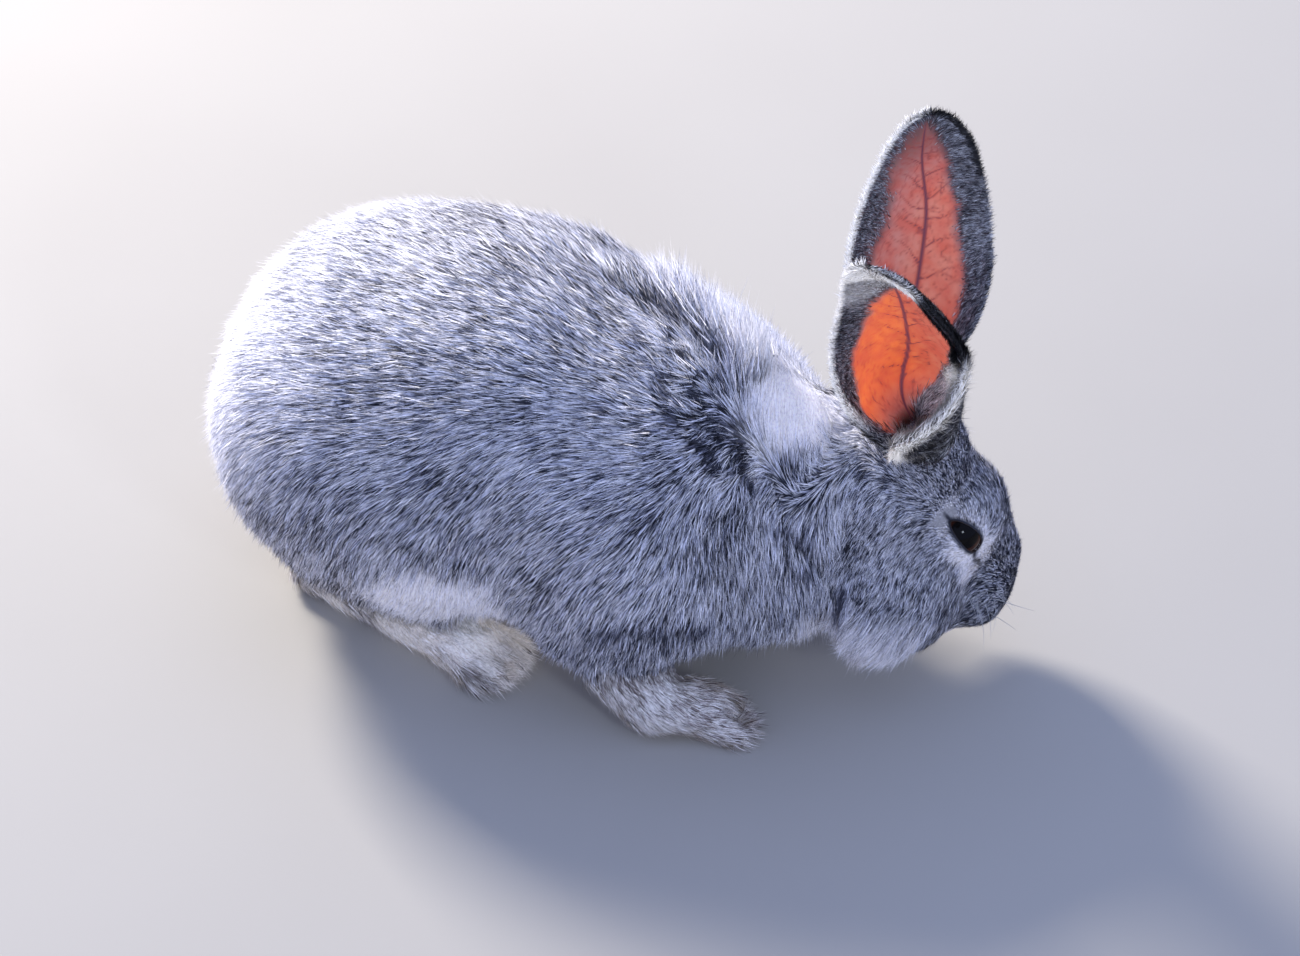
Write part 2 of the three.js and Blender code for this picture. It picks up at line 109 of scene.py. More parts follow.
# ---- Arithmetic on arrays of points ----
def unit(v):
    v = np.asarray(v, float)
    return v / np.maximum(np.linalg.norm(v, axis=-1, keepdims=True), 1e-12)


def dot(a, b):
    return (a * b).sum(-1)


def mix(a, b, t):
    t = np.asarray(t)
    if np.ndim(a) > np.ndim(t) or np.ndim(b) > np.ndim(t):
        t = t[..., None]
    return a + (b - a) * t


def ramp(x, low, high):
    """0 up to `low`, 1 from `high`, and smooth between; falling where high is below low."""
    t = np.clip((x - low) / (high - low), 0, 1)
    return t * t * (3 - 2 * t)


def noise(points, size, seed=0):
    """Smooth noise from -1 to 1, with lumps about `size` across, the same on every run."""
    q = points / size + 1000
    cell = np.floor(q).astype(np.int64)
    f = q - cell
    f = f * f * (3 - 2 * f)
    total = np.zeros(len(points))
    for corner in range(8):
        bits = np.array([corner & 1, corner >> 1 & 1, corner >> 2 & 1])
        x, y, z = (cell + bits).T
        h = (x * 73856093 ^ y * 19349663 ^ z * 83492791 ^ (seed + 1) * 2654435761) & 0xFFFFFFFF
        h = ((h ^ h >> 15) * 2246822519) & 0xFFFFFFFF
        h = ((h ^ h >> 13) * 3266489917) & 0xFFFFFFFF
        value = ((h ^ h >> 16) & 0xFFFFFF) / 0x7FFFFF - 1
        total += value * np.prod(np.where(bits, f, 1 - f), axis=1)
    return total


def distance(points, place):
    return np.linalg.norm(points - place, axis=1)


def hump(away, width):
    """1 on a line, falling smoothly to nearly 0 at twice the width from it."""
    return np.exp(-((away / width) ** 2))


def to_path(points, path, normals=None):
    """Each point's distance to a chain of straight lines, and how far along it the nearest place is, 0 to 1.
    With the surface's normals, the distance is below 0 to the right of the way the path runs."""
    nearest = np.full(len(points), np.inf)
    along = np.zeros(len(points))
    path = np.asarray(path, float)
    for n, (a, b) in enumerate(zip(path, path[1:])):
        t = np.clip((points - a) @ (b - a) / ((b - a) @ (b - a)), 0, 1)
        offset = points - a - t[:, None] * (b - a)
        d = np.linalg.norm(offset, axis=1)
        nearer = d < np.abs(nearest)
        if normals is not None:
            d = np.where(dot(offset, np.cross(normals, unit(b - a))) > 0, d, -d)
        nearest = np.where(nearer, d, nearest)
        along = np.where(nearer, (n + t) / (len(path) - 1), along)
    return nearest, along


class Edges:
    """A mesh's edges, for spreading values between neighbouring vertices."""

    def __init__(self, triangles, count):
        pairs = np.concatenate([triangles[:, [0, 1]], triangles[:, [1, 2]], triangles[:, [2, 0]]])
        pairs = np.unique(np.sort(pairs, axis=1), axis=0)
        self.a, self.b = pairs.T
        self.count = count
        self.degree = np.maximum(self.total(np.ones(count)), 1)

    def total(self, column):
        forth = np.bincount(self.a, column[self.b], self.count)
        return forth + np.bincount(self.b, column[self.a], self.count)

    def relaxed(self, values, rounds, amount=0.5):
        """The values after each has moved towards its neighbours' mean, that many times."""
        values = np.array(values, float)
        amount = np.reshape(amount, (-1, *[1] * (values.ndim - 1)))
        for _ in range(rounds):
            columns = values[:, None] if values.ndim == 1 else values
            mean = np.stack([self.total(c) for c in columns.T], axis=1) / self.degree[:, None]
            values += (mean.reshape(values.shape) - values) * amount
        return values


def vertex_normals(co, triangles):
    a, b, c = (co[triangles[:, k]] for k in range(3))
    face = np.cross(b - a, c - a)
    sums = [np.bincount(triangles.ravel(), np.repeat(face[:, k], 3), len(co)) for k in range(3)]
    return unit(np.stack(sums, axis=1))


# ---- Meshes and pieces ----
def floats(values):
    """Values in the one long row of numbers that a mesh takes."""
    return np.ascontiguousarray(values, np.float32).ravel()


def linked(name, data):
    obj = bpy.data.objects.new(name, data)
    bpy.context.scene.collection.objects.link(obj)
    return obj


def mesh_object(name, co, triangles, materials, material_of=None):
    mesh = bpy.data.meshes.new(name)
    mesh.vertices.add(len(co))
    mesh.vertices.foreach_set("co", floats(co))
    mesh.loops.add(triangles.size)
    mesh.loops.foreach_set("vertex_index", triangles.ravel().astype(np.int32))
    mesh.polygons.add(len(triangles))
    mesh.polygons.foreach_set("loop_start", np.arange(0, triangles.size, 3, dtype=np.int32))
    for material in materials:
        mesh.materials.append(material)
    if material_of is not None:
        mesh.polygons.foreach_set("material_index", material_of.astype(np.int32))
    mesh.polygons.foreach_set("use_smooth", np.ones(len(triangles), bool))
    mesh.update(calc_edges=True)
    return linked(name, mesh)


def add_attribute(obj, name, kind, values):
    """Gives each vertex a value: a number, a vector or a colour."""
    layer = obj.data.attributes.new(name, kind, "POINT")
    field = {"FLOAT": "value", "FLOAT_VECTOR": "vector", "FLOAT_COLOR": "color"}[kind]
    layer.data.foreach_set(field, floats(values))


def piece(obj, slot, *nodes):
    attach(obj, "root")
    if nodes:
        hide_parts(*nodes)


def joined(parts):
    """Several meshes' places and triangles as those of one mesh."""
    starts = np.cumsum([0] + [len(places) for places, _ in parts])
    faces = [faces + start for (_, faces), start in zip(parts, starts)]
    return np.concatenate([places for places, _ in parts]), np.concatenate(faces)


def ring_grid(rings, around, closed):
    """Triangles between rings of equal count, numbered ring after ring."""
    i, j = np.meshgrid(np.arange(rings if closed else rings - 1), np.arange(around), indexing="ij")
    i2, j2 = (i + 1) % rings, (j + 1) % around
    a, b, c, d = (g.ravel() for g in (i * around + j, i * around + j2, i2 * around + j2, i2 * around + j))
    return np.concatenate([np.stack([a, b, c], 1), np.stack([a, c, d], 1)])


def tube(line, across, other, sides, closed=False):
    """A round skin along a line, with its two half axes at each point of the line."""
    angle = np.arange(sides)[:, None] * 2 * np.pi / sides
    places = line[:, None] + across[:, None] * np.cos(angle) + other[:, None] * np.sin(angle)
    return places.reshape(-1, 3), ring_grid(len(line), sides, closed)


# ---- Places ----
def middle(node):
    low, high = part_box(node)
    return np.array((low + high) / 2)


def frame_along(way, up):
    """Rows: `way`, the side that `up` leaves to its left, and `up` made square to `way`."""
    x = unit(way)
    y = unit(np.cross(up, x))
    return np.array([x, y, np.cross(x, y)])


HEAD = frame_along(MUZZLE_WAY, CROWN_WAY)
eyes = {side: middle(f"eye_{side}") for side in SIDES}
nape = (eyes["right"] + eyes["left"]) / 2 - EYE_IN_HEAD * [1, 0, 1] @ HEAD
DESIGN = nape - np.array([101, 6, 108]) * MM  # what the solids were shifted by to centre them


def in_head(points):
    return (points - nape) @ HEAD.T


def from_head(x, y, z):
    """A place given in millimetres in the head's own frame."""
    return nape + np.array([x, y, z]) * MM @ HEAD


def at(*points):
    """Places measured on the solids as they were drawn, in millimetres, moved into the frame."""
    return DESIGN + np.array(points, float) * MM


def on_both_sides(*points):
    """A path on each side of the head, given in millimetres for the left one."""
    return {side: [from_head(x, s * y, z) for x, y, z in points] for side, s in SIDES.items()}


def ear_frame(ear):
    """Seat of an ear, and rows: where it opens to, its left, and its tip's way."""
    z = unit(ear["way"])
    y = unit(np.cross(z, ear["opening"]))
    return from_head(*ear["base"]) + z * EAR_ROOT, np.array([np.cross(y, z), y, z])


# ---- The skin of body, head and legs ----
def grown_solids(names, grow):
    """One mesh of solids, each a little larger than it is, so that neighbours run into each other."""
    joined_up = bmesh.new()
    for name in names:
        solid = bmesh.new()
        solid.from_mesh(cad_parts[name].data)
        bmesh.ops.remove_doubles(solid, verts=solid.verts, dist=1e-6)
        solid.normal_update()
        for v in solid.verts:
            v.co += v.normal * grow
        mesh = bpy.data.meshes.new("solid")
        solid.to_mesh(mesh)
        solid.free()
        joined_up.from_mesh(mesh)
        bpy.data.meshes.remove(mesh)
    mesh = bpy.data.meshes.new("solids")
    joined_up.to_mesh(mesh)
    joined_up.free()
    return mesh


def remeshed(mesh, voxel):
    obj = linked("remesh", mesh)
    modifier = obj.modifiers.new("voxels", "REMESH")
    modifier.mode = "VOXEL"
    modifier.voxel_size = voxel
    done = bpy.data.meshes.new_from_object(obj.evaluated_get(bpy.context.evaluated_depsgraph_get()))
    bpy.data.objects.remove(obj)
    return done


def refined(bm, centre, radius):
    """Halves the edges whose middles are within `radius` of a place."""
    centre = Vector(centre)
    near = [e for e in bm.edges if ((e.verts[0].co + e.verts[1].co) / 2 - centre).length < radius]
    bmesh.ops.subdivide_edges(bm, edges=near, cuts=1, use_grid_fill=True)


def body_surface():
    """Vertices and triangles of the flesh, out to the coat's tips, finer on the face and paws."""
    names = PARTS + ["eye_right", "eye_left"]
    mesh = remeshed(grown_solids(names, 0.4 * MM), VOXEL)
    bm = bmesh.new()
    bm.from_mesh(mesh)
    refined(bm, from_head(50, 0, 0), 74 * MM)
    for side in SIDES:
        for part in ("foreleg", "hindfoot"):
            low, high = (np.array(c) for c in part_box(f"{part}_{side}"))
            refined(bm, [high[0] - 12 * MM, (low[1] + high[1]) / 2, 0], 27 * MM)
        refined(bm, eyes[side], 19 * MM)
    refined(bm, from_head(104, 0, -4), 19 * MM)
    bmesh.ops.triangulate(bm, faces=bm.faces)
    bm.to_mesh(mesh)
    bm.free()
    co = np.empty(len(mesh.vertices) * 3)
    mesh.vertices.foreach_get("co", co)
    triangles = np.empty(len(mesh.polygons) * 3, np.int32)
    mesh.polygons.foreach_get("vertices", triangles)
    bpy.data.meshes.remove(mesh)
    return co.reshape(-1, 3), triangles.reshape(-1, 3)


def part_shares(co, edges):
    """How much each vertex belongs to each of the parts, blurred over the borders."""
    samples = []
    for n, name in enumerate(PARTS):
        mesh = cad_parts[name].data
        samples += [(v.co, n) for v in mesh.vertices] + [(p.center, n) for p in mesh.polygons]
    tree = kdtree.KDTree(len(samples))
    for place, n in samples:
        tree.insert(place, n)
    tree.balance()
    nearest = np.array([tree.find(p)[1] for p in co])
    return dict(zip(PARTS, edges.relaxed(np.eye(len(PARTS))[nearest], 10).T))


def of_parts(shares, column):
    """A column of COAT for each vertex, mixed by its shares of the parts."""
    kind = {part: next(k for k in COAT if part.startswith(k)) for part in PARTS}
    return sum(share * COAT[kind[part]][column] for part, share in shares.items())


# ---- The face, the parting and the creases, pressed into the skin ----
def eye_frame(side):
    """Rows: where the eye looks, towards the nose, and up along the head's crown."""
    outward = HEAD[1] * SIDES[side]
    looks = unit(outward * 0.98 - HEAD[0] * 0.17 + HEAD[2] * 0.05)
    up = unit(HEAD[2] - looks * (HEAD[2] @ looks))
    nose = np.cross(up, looks) * SIDES[side]
    if nose @ HEAD[0] < 0:
        nose = -nose
    return np.array([looks, nose, up])


def lid_heights(turn):
    """Heights of the upper and lower lid's edge in degrees, at each turn round the eye from rear to front."""
    s = np.clip(2 * (turn - REAR_CORNER) / (FRONT_CORNER - REAR_CORNER) - 1, -1, 1)
    bulge = np.sqrt(1 - s * s)
    line = -3.0 * s
    return line + UPPER_LID * bulge**1.15 * (1 + 0.2 * s), line + LOWER_LID * bulge


def eye_axes(points, side):
    return ((points - eyes[side]) @ eye_frame(side).T).T


def from_opening(points, side):
    """How far points are outside the opening between the lids, along the eyeball; below 0 inside."""
    looks, nose, up = eye_axes(points, side)
    turn = np.degrees(np.arctan2(nose, looks))
    rise = np.degrees(np.arctan2(up, np.hypot(looks, nose)))
    upper, lower = lid_heights(turn)
    half = (upper - lower) / 2
    over = np.abs(rise - (upper + lower) / 2) - half
    past = np.maximum(turn - FRONT_CORNER, REAR_CORNER - turn)
    outside = np.where(past > 0, np.hypot(past, np.maximum(over, 0)), over)
    return np.radians(outside) * EYE_RADIUS


def shape_lids(co):
    """Draws the skin round each eye over the eyeball, up to the edge of the opening."""
    lid = EYE_RADIUS + LID_THICKNESS
    for side in SIDES:
        arm = co - eyes[side]
        reach = np.linalg.norm(arm, axis=1)
        near = reach < ROUND_EYE
        outside = from_opening(co, side)
        wanted = mix(lid, np.maximum(reach, lid), ramp(outside, 0.8 * MM, 8 * MM))
        wanted = mix(wanted, reach, ramp(reach, 1.6 * EYE_RADIUS, ROUND_EYE))
        co[near] = (eyes[side] + arm * (wanted / reach)[:, None])[near]


NOSTRILS = on_both_sides((106.5, 1.2, -2.2), (107.5, 3.0, 0.2), (105.5, 5.6, 2.0))
PHILTRUM = [from_head(108.5, 0, -1.5), from_head(107, 0, -6), from_head(103, 0, -12)]
MOUTH = on_both_sides((103, 0, -12), (98, 7, -16), (86, 14, -19), (74, 18, -20))
PARTING = at(
    (15, 9, 164), (20, 7, 163), (33, 0, 159), (44, -3, 154), (53, -4, 150), (61, -10, 145), (68, -17, 137)
)
ARM_CREASE = at((34, -81, 71), (52, -76, 68), (69, -62, 65))
CHEEK_CREASE = at((91, -29, 103), (96, -29, 94), (101, -26, 83), (106, -24, 69), (108, -24, 59))
# Grooves in the skin: the path, the groove's width and depth, and the width of the dark line painted along it
# as shade, in millimetres.
FACE_LINES = [
    *((path, 0.75, 1.7, 1.4) for path in NOSTRILS.values()),
    (PHILTRUM, 0.8, 1.2, 1.2),
    *((path, 1.0, 1.4, 1.3) for path in MOUTH.values()),
]
CREASES = [(ARM_CREASE, 3.5, 4.5, 3.4), (CHEEK_CREASE, 3.2, 4.8, 3.0)]


def on_skin(co, path, normals=None):
    """As to_path, with each place of the path moved to the skin's nearest vertex first."""
    path = [co[np.argmin(((co - place) ** 2).sum(axis=1))] for place in path]
    return to_path(co, path, normals)


# Painted shade: a dark line along the bottom of each groove.
def dark_lines(co, grooves):
    return np.maximum.reduce([0.9 * hump(on_skin(co, path)[0], width * MM) for path, _, _, width in grooves])


def between_toes(points):
    """How close each place is, seen from above, to a line between two toes, from 0 to 1."""
    found = np.zeros(len(points))
    flat = np.array([1, 1, 0])
    for foot in ("forefoot", "hindfoot"):
        for side in SIDES:
            claws = [middle(f"{foot}_{side}_claw_{k}") for k in (1, 2, 3, 4)]
            for a, b in zip(claws, claws[1:]):
                gap = (a + b) / 2
                away, along = to_path(points * flat, [gap * flat, (gap - [17 * MM, 0, 0]) * flat])
                found = np.maximum(found, ramp(along, 1, 0.8) * hump(away, 1.6 * MM))
    return found * (points[:, 2] < 34 * MM)


def press_parting(co, normals):
    """Presses the parting into the skin of the back, and raises the skin beside it."""
    side, along = on_skin(co, PARTING, normals)
    fade = ramp(along, 0.0, 0.2) * ramp(along, 1.0, 0.8)
    groove = -2.6 * hump(side, 4.5 * MM)
    lip = 2.4 * hump(side - 10 * MM, 6 * MM) + 1.6 * hump(side + 9 * MM, 4 * MM)
    co += normals * ((groove + lip) * fade * MM)[:, None]


def build_body():
    """The body's skin: places, triangles, normals that point out of the coat, and shares of the parts."""
    co, triangles = body_surface()
    edges = Edges(triangles, len(co))
    shares = part_shares(co, edges)
    torso = sum(shares[p] for p in PARTS if p.split("_")[0] in ("trunk", "neck", "thigh", "upper"))
    co = edges.relaxed(co, 24, 0.1 + 0.45 * torso)
    normals = unit(edges.relaxed(vertex_normals(co, triangles), 12, 0.1 + 0.4 * torso))
    depth = of_parts(shares, 0) * MM
    for side in SIDES:
        depth *= mix(0.5, 1, ramp(distance(co, eyes[side]), 12 * MM, 26 * MM))
    depth *= mix(1, 0.6, ramp(in_head(co)[:, 0], 78 * MM, 104 * MM) * shares["head"])
    co = co - normals * depth[:, None]
    shape_lids(co)
    for path, width, deep, _ in FACE_LINES + CREASES:
        away, along = on_skin(co, path)
        fade = np.sqrt(np.sin(np.pi * np.clip(along, 0.04, 0.96)))
        co -= normals * (deep * MM * fade * hump(away, width * MM))[:, None]
    co -= normals * (2.6 * MM * between_toes(co))[:, None]
    press_parting(co, normals)
    return co, triangles, normals, shares


# ---- Ears ----
def spline(values, t):
    """A smooth curve through values at equal steps, read at shares of its length."""
    values = np.asarray(values, float)
    last = len(values) - 1
    x = np.clip(t, 0, 1) * last
    i = np.minimum(x.astype(int), last - 1)
    f = x - i
    a, b, c, d = (values[np.clip(i + k, 0, last)] for k in (-1, 0, 1, 2))
    return 0.5 * (2 * b + (c - a) * f + (2 * a - 5 * b + 4 * c - d) * f**2 + (3 * b - 3 * c + d - a) * f**3)


def ear_half(ear, u):
    tipward = np.maximum(u - ear["broadest"], 0) / (1 - ear["broadest"])
    return spline(ear["halves"], u) * MM * np.sqrt(np.maximum(1 - np.minimum(tipward, 1) ** 2, 0.006))


def ear_grid(ear, rows, columns, inner):
    """A grid of places on one face of an ear, root to tip and edge to edge, under its short fur. Also each
    place's share of the height, from -1 to 1 of the width, and its place on the ear spread flat."""
    u, s = np.meshgrid(np.linspace(-0.07, 1, rows), np.linspace(-1, 1, columns), indexing="ij")
    up = np.clip(u, 0, 1)
    whole = ear_half(ear, up)
    half = np.maximum(whole - EAR_BARE["edge"], 0.6 * MM)
    wrap = spline(ear["wraps"], up)
    radius = half / wrap
    wall = mix(0.93 * EAR_ROOT_RADIUS, EAR_WALL, ramp(up, 0, 0.16)) * mix(1, 0.6, ramp(up, 0.8, 1))
    thick = np.minimum(wall * mix(1, 0.55, np.abs(s) ** 3), 0.93 * whole / wrap)
    back = -EAR_ROOT_RADIUS - ear["sag"] * MM * np.sin(0.9 * np.pi * up)
    back = back + ear["nod"] * MM * up**2 + EAR_BARE["face"]
    aside = ear["bow"] * MM * np.sin(np.pi * up)
    length = EAR_LENGTH - EAR_BARE["edge"]
    height = length * mix(up, np.sin(np.pi / 2 * up), 0.35) + length * np.minimum(u, 0)
    reach = radius - (np.maximum(thick - EAR_BARE["face"], 0.9 * MM) if inner else 0)
    reach = np.maximum(reach, 0.3 * MM)
    angle = wrap * (s + ear["turn"] * ramp(up, 0, 0.25) * s**2)
    local = np.stack([back + radius - reach * np.cos(angle), aside + reach * np.sin(angle), height], axis=-1)
    seat, axes = ear_frame(ear)
    flat = np.stack([s * half, u * length, np.zeros_like(u)], axis=-1)
    return seat + local.reshape(-1, 3) @ axes, u.ravel(), s.ravel(), flat.reshape(-1, 3)


def veins(ear, flat):
    """How much of a vein is at each place of an ear's inner face: a main one, its branches and a net."""
    share = np.linspace(0, 0.93, 16)
    main = np.stack([spline(ear["vein"], share) * MM, share * EAR_LENGTH, 0 * share], axis=1)
    away, along = to_path(flat, main)
    found = 0.8 * hump(away, mix(1.45, 0.55, along) * MM)
    random = np.random.default_rng(3)
    steps = np.linspace(0, 1, 7)
    for k in range(17):
        start = main[0] + (main[-1] - main[0]) * (0.10 + 0.05 * k)
        start[0] = np.interp(start[1], main[:, 1], main[:, 0])
        out = (-1) ** k * (15 + 8 * random.random()) * MM
        rise = (9 + 10 * random.random()) * MM
        branch = [start + [out * t, rise * t**1.3 + 1.5 * MM * np.sin(7 * t + k), 0] for t in steps]
        away, along = to_path(flat, branch)
        found = np.maximum(found, mix(0.7, 0.3, along) * hump(away, mix(0.5, 0.3, along) * MM))
    net = 1 - np.abs(noise(flat * [1, 0.8, 1], 4.4 * MM, 5) + 0.4 * noise(flat, 2.1 * MM, 6)) / 0.16
    fine = 1 - np.abs(noise(flat, 2.2 * MM, 7)) / 0.14
    return np.maximum.reduce([found, 0.5 * np.clip(net, 0, 1), 0.32 * np.clip(fine, 0, 1)])


def build_ear(ear):
    """A closed shell: outer face, inner face and the rim between them."""
    rows, columns = 150, 80
    outer, u, s, flat = ear_grid(ear, rows, columns, False)
    inner, _, _, _ = ear_grid(ear, rows, columns, True)
    grid = np.arange(rows * columns).reshape(rows, columns)
    a, b, c, d = (g.ravel() for g in (grid[:-1, :-1], grid[:-1, 1:], grid[1:, 1:], grid[1:, :-1]))
    face = np.concatenate([np.stack([a, c, b], 1), np.stack([a, d, c], 1)])
    rim = np.concatenate([grid[:, 0], grid[-1, 1:], grid[::-1, -1][1:], grid[0, ::-1][1:]])
    p, q = rim[:-1], rim[1:]
    shift = rows * columns
    edge = np.concatenate([np.stack([p, p + shift, q + shift], 1), np.stack([p, q + shift, q], 1)])
    triangles = np.concatenate([face, face[:, ::-1] + shift, edge])
    co = np.concatenate([outer, inner])
    facts = {"u": np.tile(u, 2), "s": np.tile(s, 2), "inner": np.repeat([0.0, 1.0], shift)}
    facts["vein"] = facts["inner"] * veins(ear, np.tile(flat, (2, 1)))
    return co, triangles, facts


# ---- Light and dark markings ----
# Each: middle, reach along x, y and z, and how much, from 0 to 1.
NAPE_PATCH = (at((86, 0, 131))[0], (28, 28, 22), 1.0)
PALE = [
    NAPE_PATCH,
    (at((62, 14, 146))[0], (24, 17, 14), 0.6),  # brushed-up collar, paler partly as painted sunlight on its raised hair
    (at((-45, 0, 8))[0], (95, 78, 40), 1.0),  # belly
    (at((-150, 4, 44))[0], (22, 20, 22), 1.0),  # under the tail
    (at((-140, -14, 100))[0], (46, 62, 56), 0.7),  # paler hindquarters, partly painted sunlight
    (from_head(90, 0, -24), (18, 14, 12), 0.9),  # chin
]
DARK = [
    (at((60, -28, 140))[0], (17, 11, 12), 0.8),  # ruffled clumps at the parting, their dark roots showing, partly painted shade
    (at((40, -24, 153))[0], (17, 10, 9), 0.4),
    (at((104, -17, 110))[0], (9, 6, 5), 0.45),
    (at((-160, 5, 88))[0], (18, 18, 24), 0.9),  # upper side of the tail
    (from_head(101, 0, 4), (12, 12, 10), 0.3),  # nose
]
for s in SIDES.values():
    PALE += [
        (at((-38, 80 * s, 50))[0], (37, 30, 32), 0.8),  # the flanks' fringes
        (from_head(54, 20 * s, -47), (32, 28, 22), 0.65),  # lower cheeks and throat
        (from_head(64, 25 * s, 7), (10, 9, 8), 0.75),  # under the inner corners of the eyes
    ]
    DARK += [
        (at((-96, 70 * s, 34))[0], (40, 26, 22), 0.5),  # low haunches, darker partly as painted shade under the body
        (from_head(86, 14 * s, -16), (17, 12, 10), 0.15),  # front of the cheeks
    ]


def marked(co, marks):
    """The strongest of some soft-edged blobs at each place, with an uneven border."""
    found = np.zeros(len(co))
    wobble = 0.16 * noise(co, 9 * MM, 11) + 0.08 * noise(co, 3 * MM, 12)
    for centre, reach, amount in marks:
        r = np.linalg.norm((co - centre) / (np.array(reach) * MM), axis=1)
        found = np.maximum(found, amount * ramp(r + wobble, 1.15, 0.6))
    return found


def eye_marks(co):
    """The pale ring round each eye, and the dark line of the lids and of the corner towards the nose."""
    ring = np.zeros(len(co))
    line = np.zeros(len(co))
    for side in SIDES:
        outside = from_opening(co, side)
        reach = distance(co, eyes[side])
        _, nose, up = eye_axes(co, side)
        front = ramp(nose - 0.7 * up, -2 * MM, 8 * MM)
        faded = ramp(outside, mix(6.5, 9, front) * MM, mix(2.5, 4, front) * MM)
        ring = np.maximum(ring, (reach < ROUND_EYE) * mix(0.65, 1, front) * faded)
        tear = np.array([(0.82 * EYE_RADIUS, -0.6 * MM), (0.82 * EYE_RADIUS + 13 * MM, -2.4 * MM)])
        away, _ = to_path(np.stack([nose, up], 1), tear)
        line = np.maximum(line, (reach < 2.6 * EYE_RADIUS) * hump(away, 0.8 * MM))
        line = np.maximum(line, (reach < ROUND_EYE) * ramp(outside, 0.8 * MM, 0.2 * MM))
    return 0.95 * ring * (1 - line), line


def markings(co, normals, shares):
    """At each vertex of the body, how pale, dusky and black the coat is, how dark along the parting and the
    creases (its dark roots, and painted shade), how ruffled and flecked, and how far the place is in the
    brushed-up collar.
    Some of the pale is painted sunlight, and some of the dusk and black is painted shade."""
    ring, line = eye_marks(co)
    beside, along = on_skin(co, PARTING, normals)
    side = beside / MM
    fade = ramp(along, -0.02, 0.04) * ramp(along, 1.0, 0.8)
    collar = ramp(side, 0, 3) * ramp(side, 34, 14) * fade
    past_collar = ramp(side, 12, 20) * ramp(side, 80, 60) * fade
    ruffle = ramp(side, -1, -3) * ramp(side, -36, -18) * ramp(along, 0.1, 0.4) * ramp(-side, 36, 20)
    # Painted sunlight: at the rear, where the skin faces up and back towards the key light, the coat is paler
    # and less flecked.
    sunlit_rump = ramp((co - DESIGN)[:, 0], -50 * MM, -130 * MM) * ramp(normals[:, 2] - normals[:, 0], 0.2, 1.0)
    foot = sum(shares[f"{part}_{side}"] for part in ("foreleg", "hindfoot") for side in SIDES)
    pale = [marked(co, PALE), ring * shares["head"], 0.44 * foot, 0.7 * past_collar, 0.36 * sunlit_rump]
    # Painted shade: black along the grooves of nostrils, philtrum and mouth, and between the toes.
    dark = [line * shares["head"], dark_lines(co, FACE_LINES), 0.85 * between_toes(co)]
    return {
        "pale": np.maximum.reduce(pale),
        # Painted shade: the whole head a little duskier; the collar less dusky, partly painted sunlight.
        "dusk": marked(co, DARK) - 0.9 * collar + 0.12 * shares["head"],
        "dark": np.maximum.reduce(dark),
        # Along the parting its dark roots show, with painted shade in the groove; the arm and cheek creases
        # are painted shade.
        "slate": np.maximum(0.85 * hump(beside, 2.2 * MM) * fade, dark_lines(co, CREASES)),
        "ruffle": ruffle,
        "flecks": mix(1.0, 1.5, foot) - 0.3 * sunlit_rump + 0.25 * shares["head"],
    }, collar


# ---- The lie and growth of the coat ----
def lie_of_coat(co, normals, shares, edges):
    """Which way the hair points at each vertex of the body, along the skin."""
    x, _, z = (co - DESIGN).T / MM
    turned = np.clip((0.92 - normals[:, 2]) / 1.1, 0, 1)
    fall = 0.05 + 2.3 * turned**1.25 + ramp(z, 105, 60)
    fall += turned * (1.4 * ramp(x, 0, 75) + 0.8 * ramp(x, -80, -150))
    torso = np.stack([-np.ones_like(x), np.zeros_like(x), -fall], 1)
    side = on_skin(co, PARTING, normals)[0] / MM
    collar = ramp(side, -3.5, 3.5) * ramp(side, 48, 26) * ramp(co[:, 1] / MM, 32, 14)
    torso = mix(unit(torso), np.array([-0.24, 0.60, 0.77]), collar)
    head = in_head(co) / MM
    crown = ramp(head[:, 2], -12, 20)
    snout = ramp(head[:, 0], 70, 95)
    back = mix(-0.25, -1.0, np.maximum(crown, snout))
    local = np.stack([back, 0.35 * np.sign(head[:, 1]) * (1 - crown), mix(-1.0, 0.15, crown)], 1)
    down = np.array([0, 0, -1.0])
    flow = mix(torso, local @ HEAD + down * (0.5 * (1 - crown))[:, None], shares["head"])
    for side, s in SIDES.items():
        leg = np.array([0.55, 0.08 * -s, -0.65])
        foot = np.array([1.0, 0.22 * s, -0.25])
        flow = mix(flow, leg, shares[f"foreleg_{side}"] * ramp(z, 14, 26))
        flow = mix(flow, np.array([1.0, 0.1 * -s, -0.3]), shares[f"foreleg_{side}"] * ramp(z, 26, 14))
        flow = mix(flow, foot, shares[f"hindfoot_{side}"])
    flow = mix(flow, np.array([-0.3, 0, 1.0]), shares["tail"])
    swirl = np.stack([noise(co, 26 * MM, k) for k in (21, 22, 23)], 1)
    flow = unit(flow) + 0.22 * swirl
    for side in SIDES:
        flow = mix(flow, unit(co - eyes[side]), 0.6 * ramp(distance(co, eyes[side]), 22 * MM, 11 * MM))
    flow = unit(flow - normals * dot(flow, normals)[:, None])
    flow = edges.relaxed(flow, 6)
    return unit(flow - normals * dot(flow, normals)[:, None])


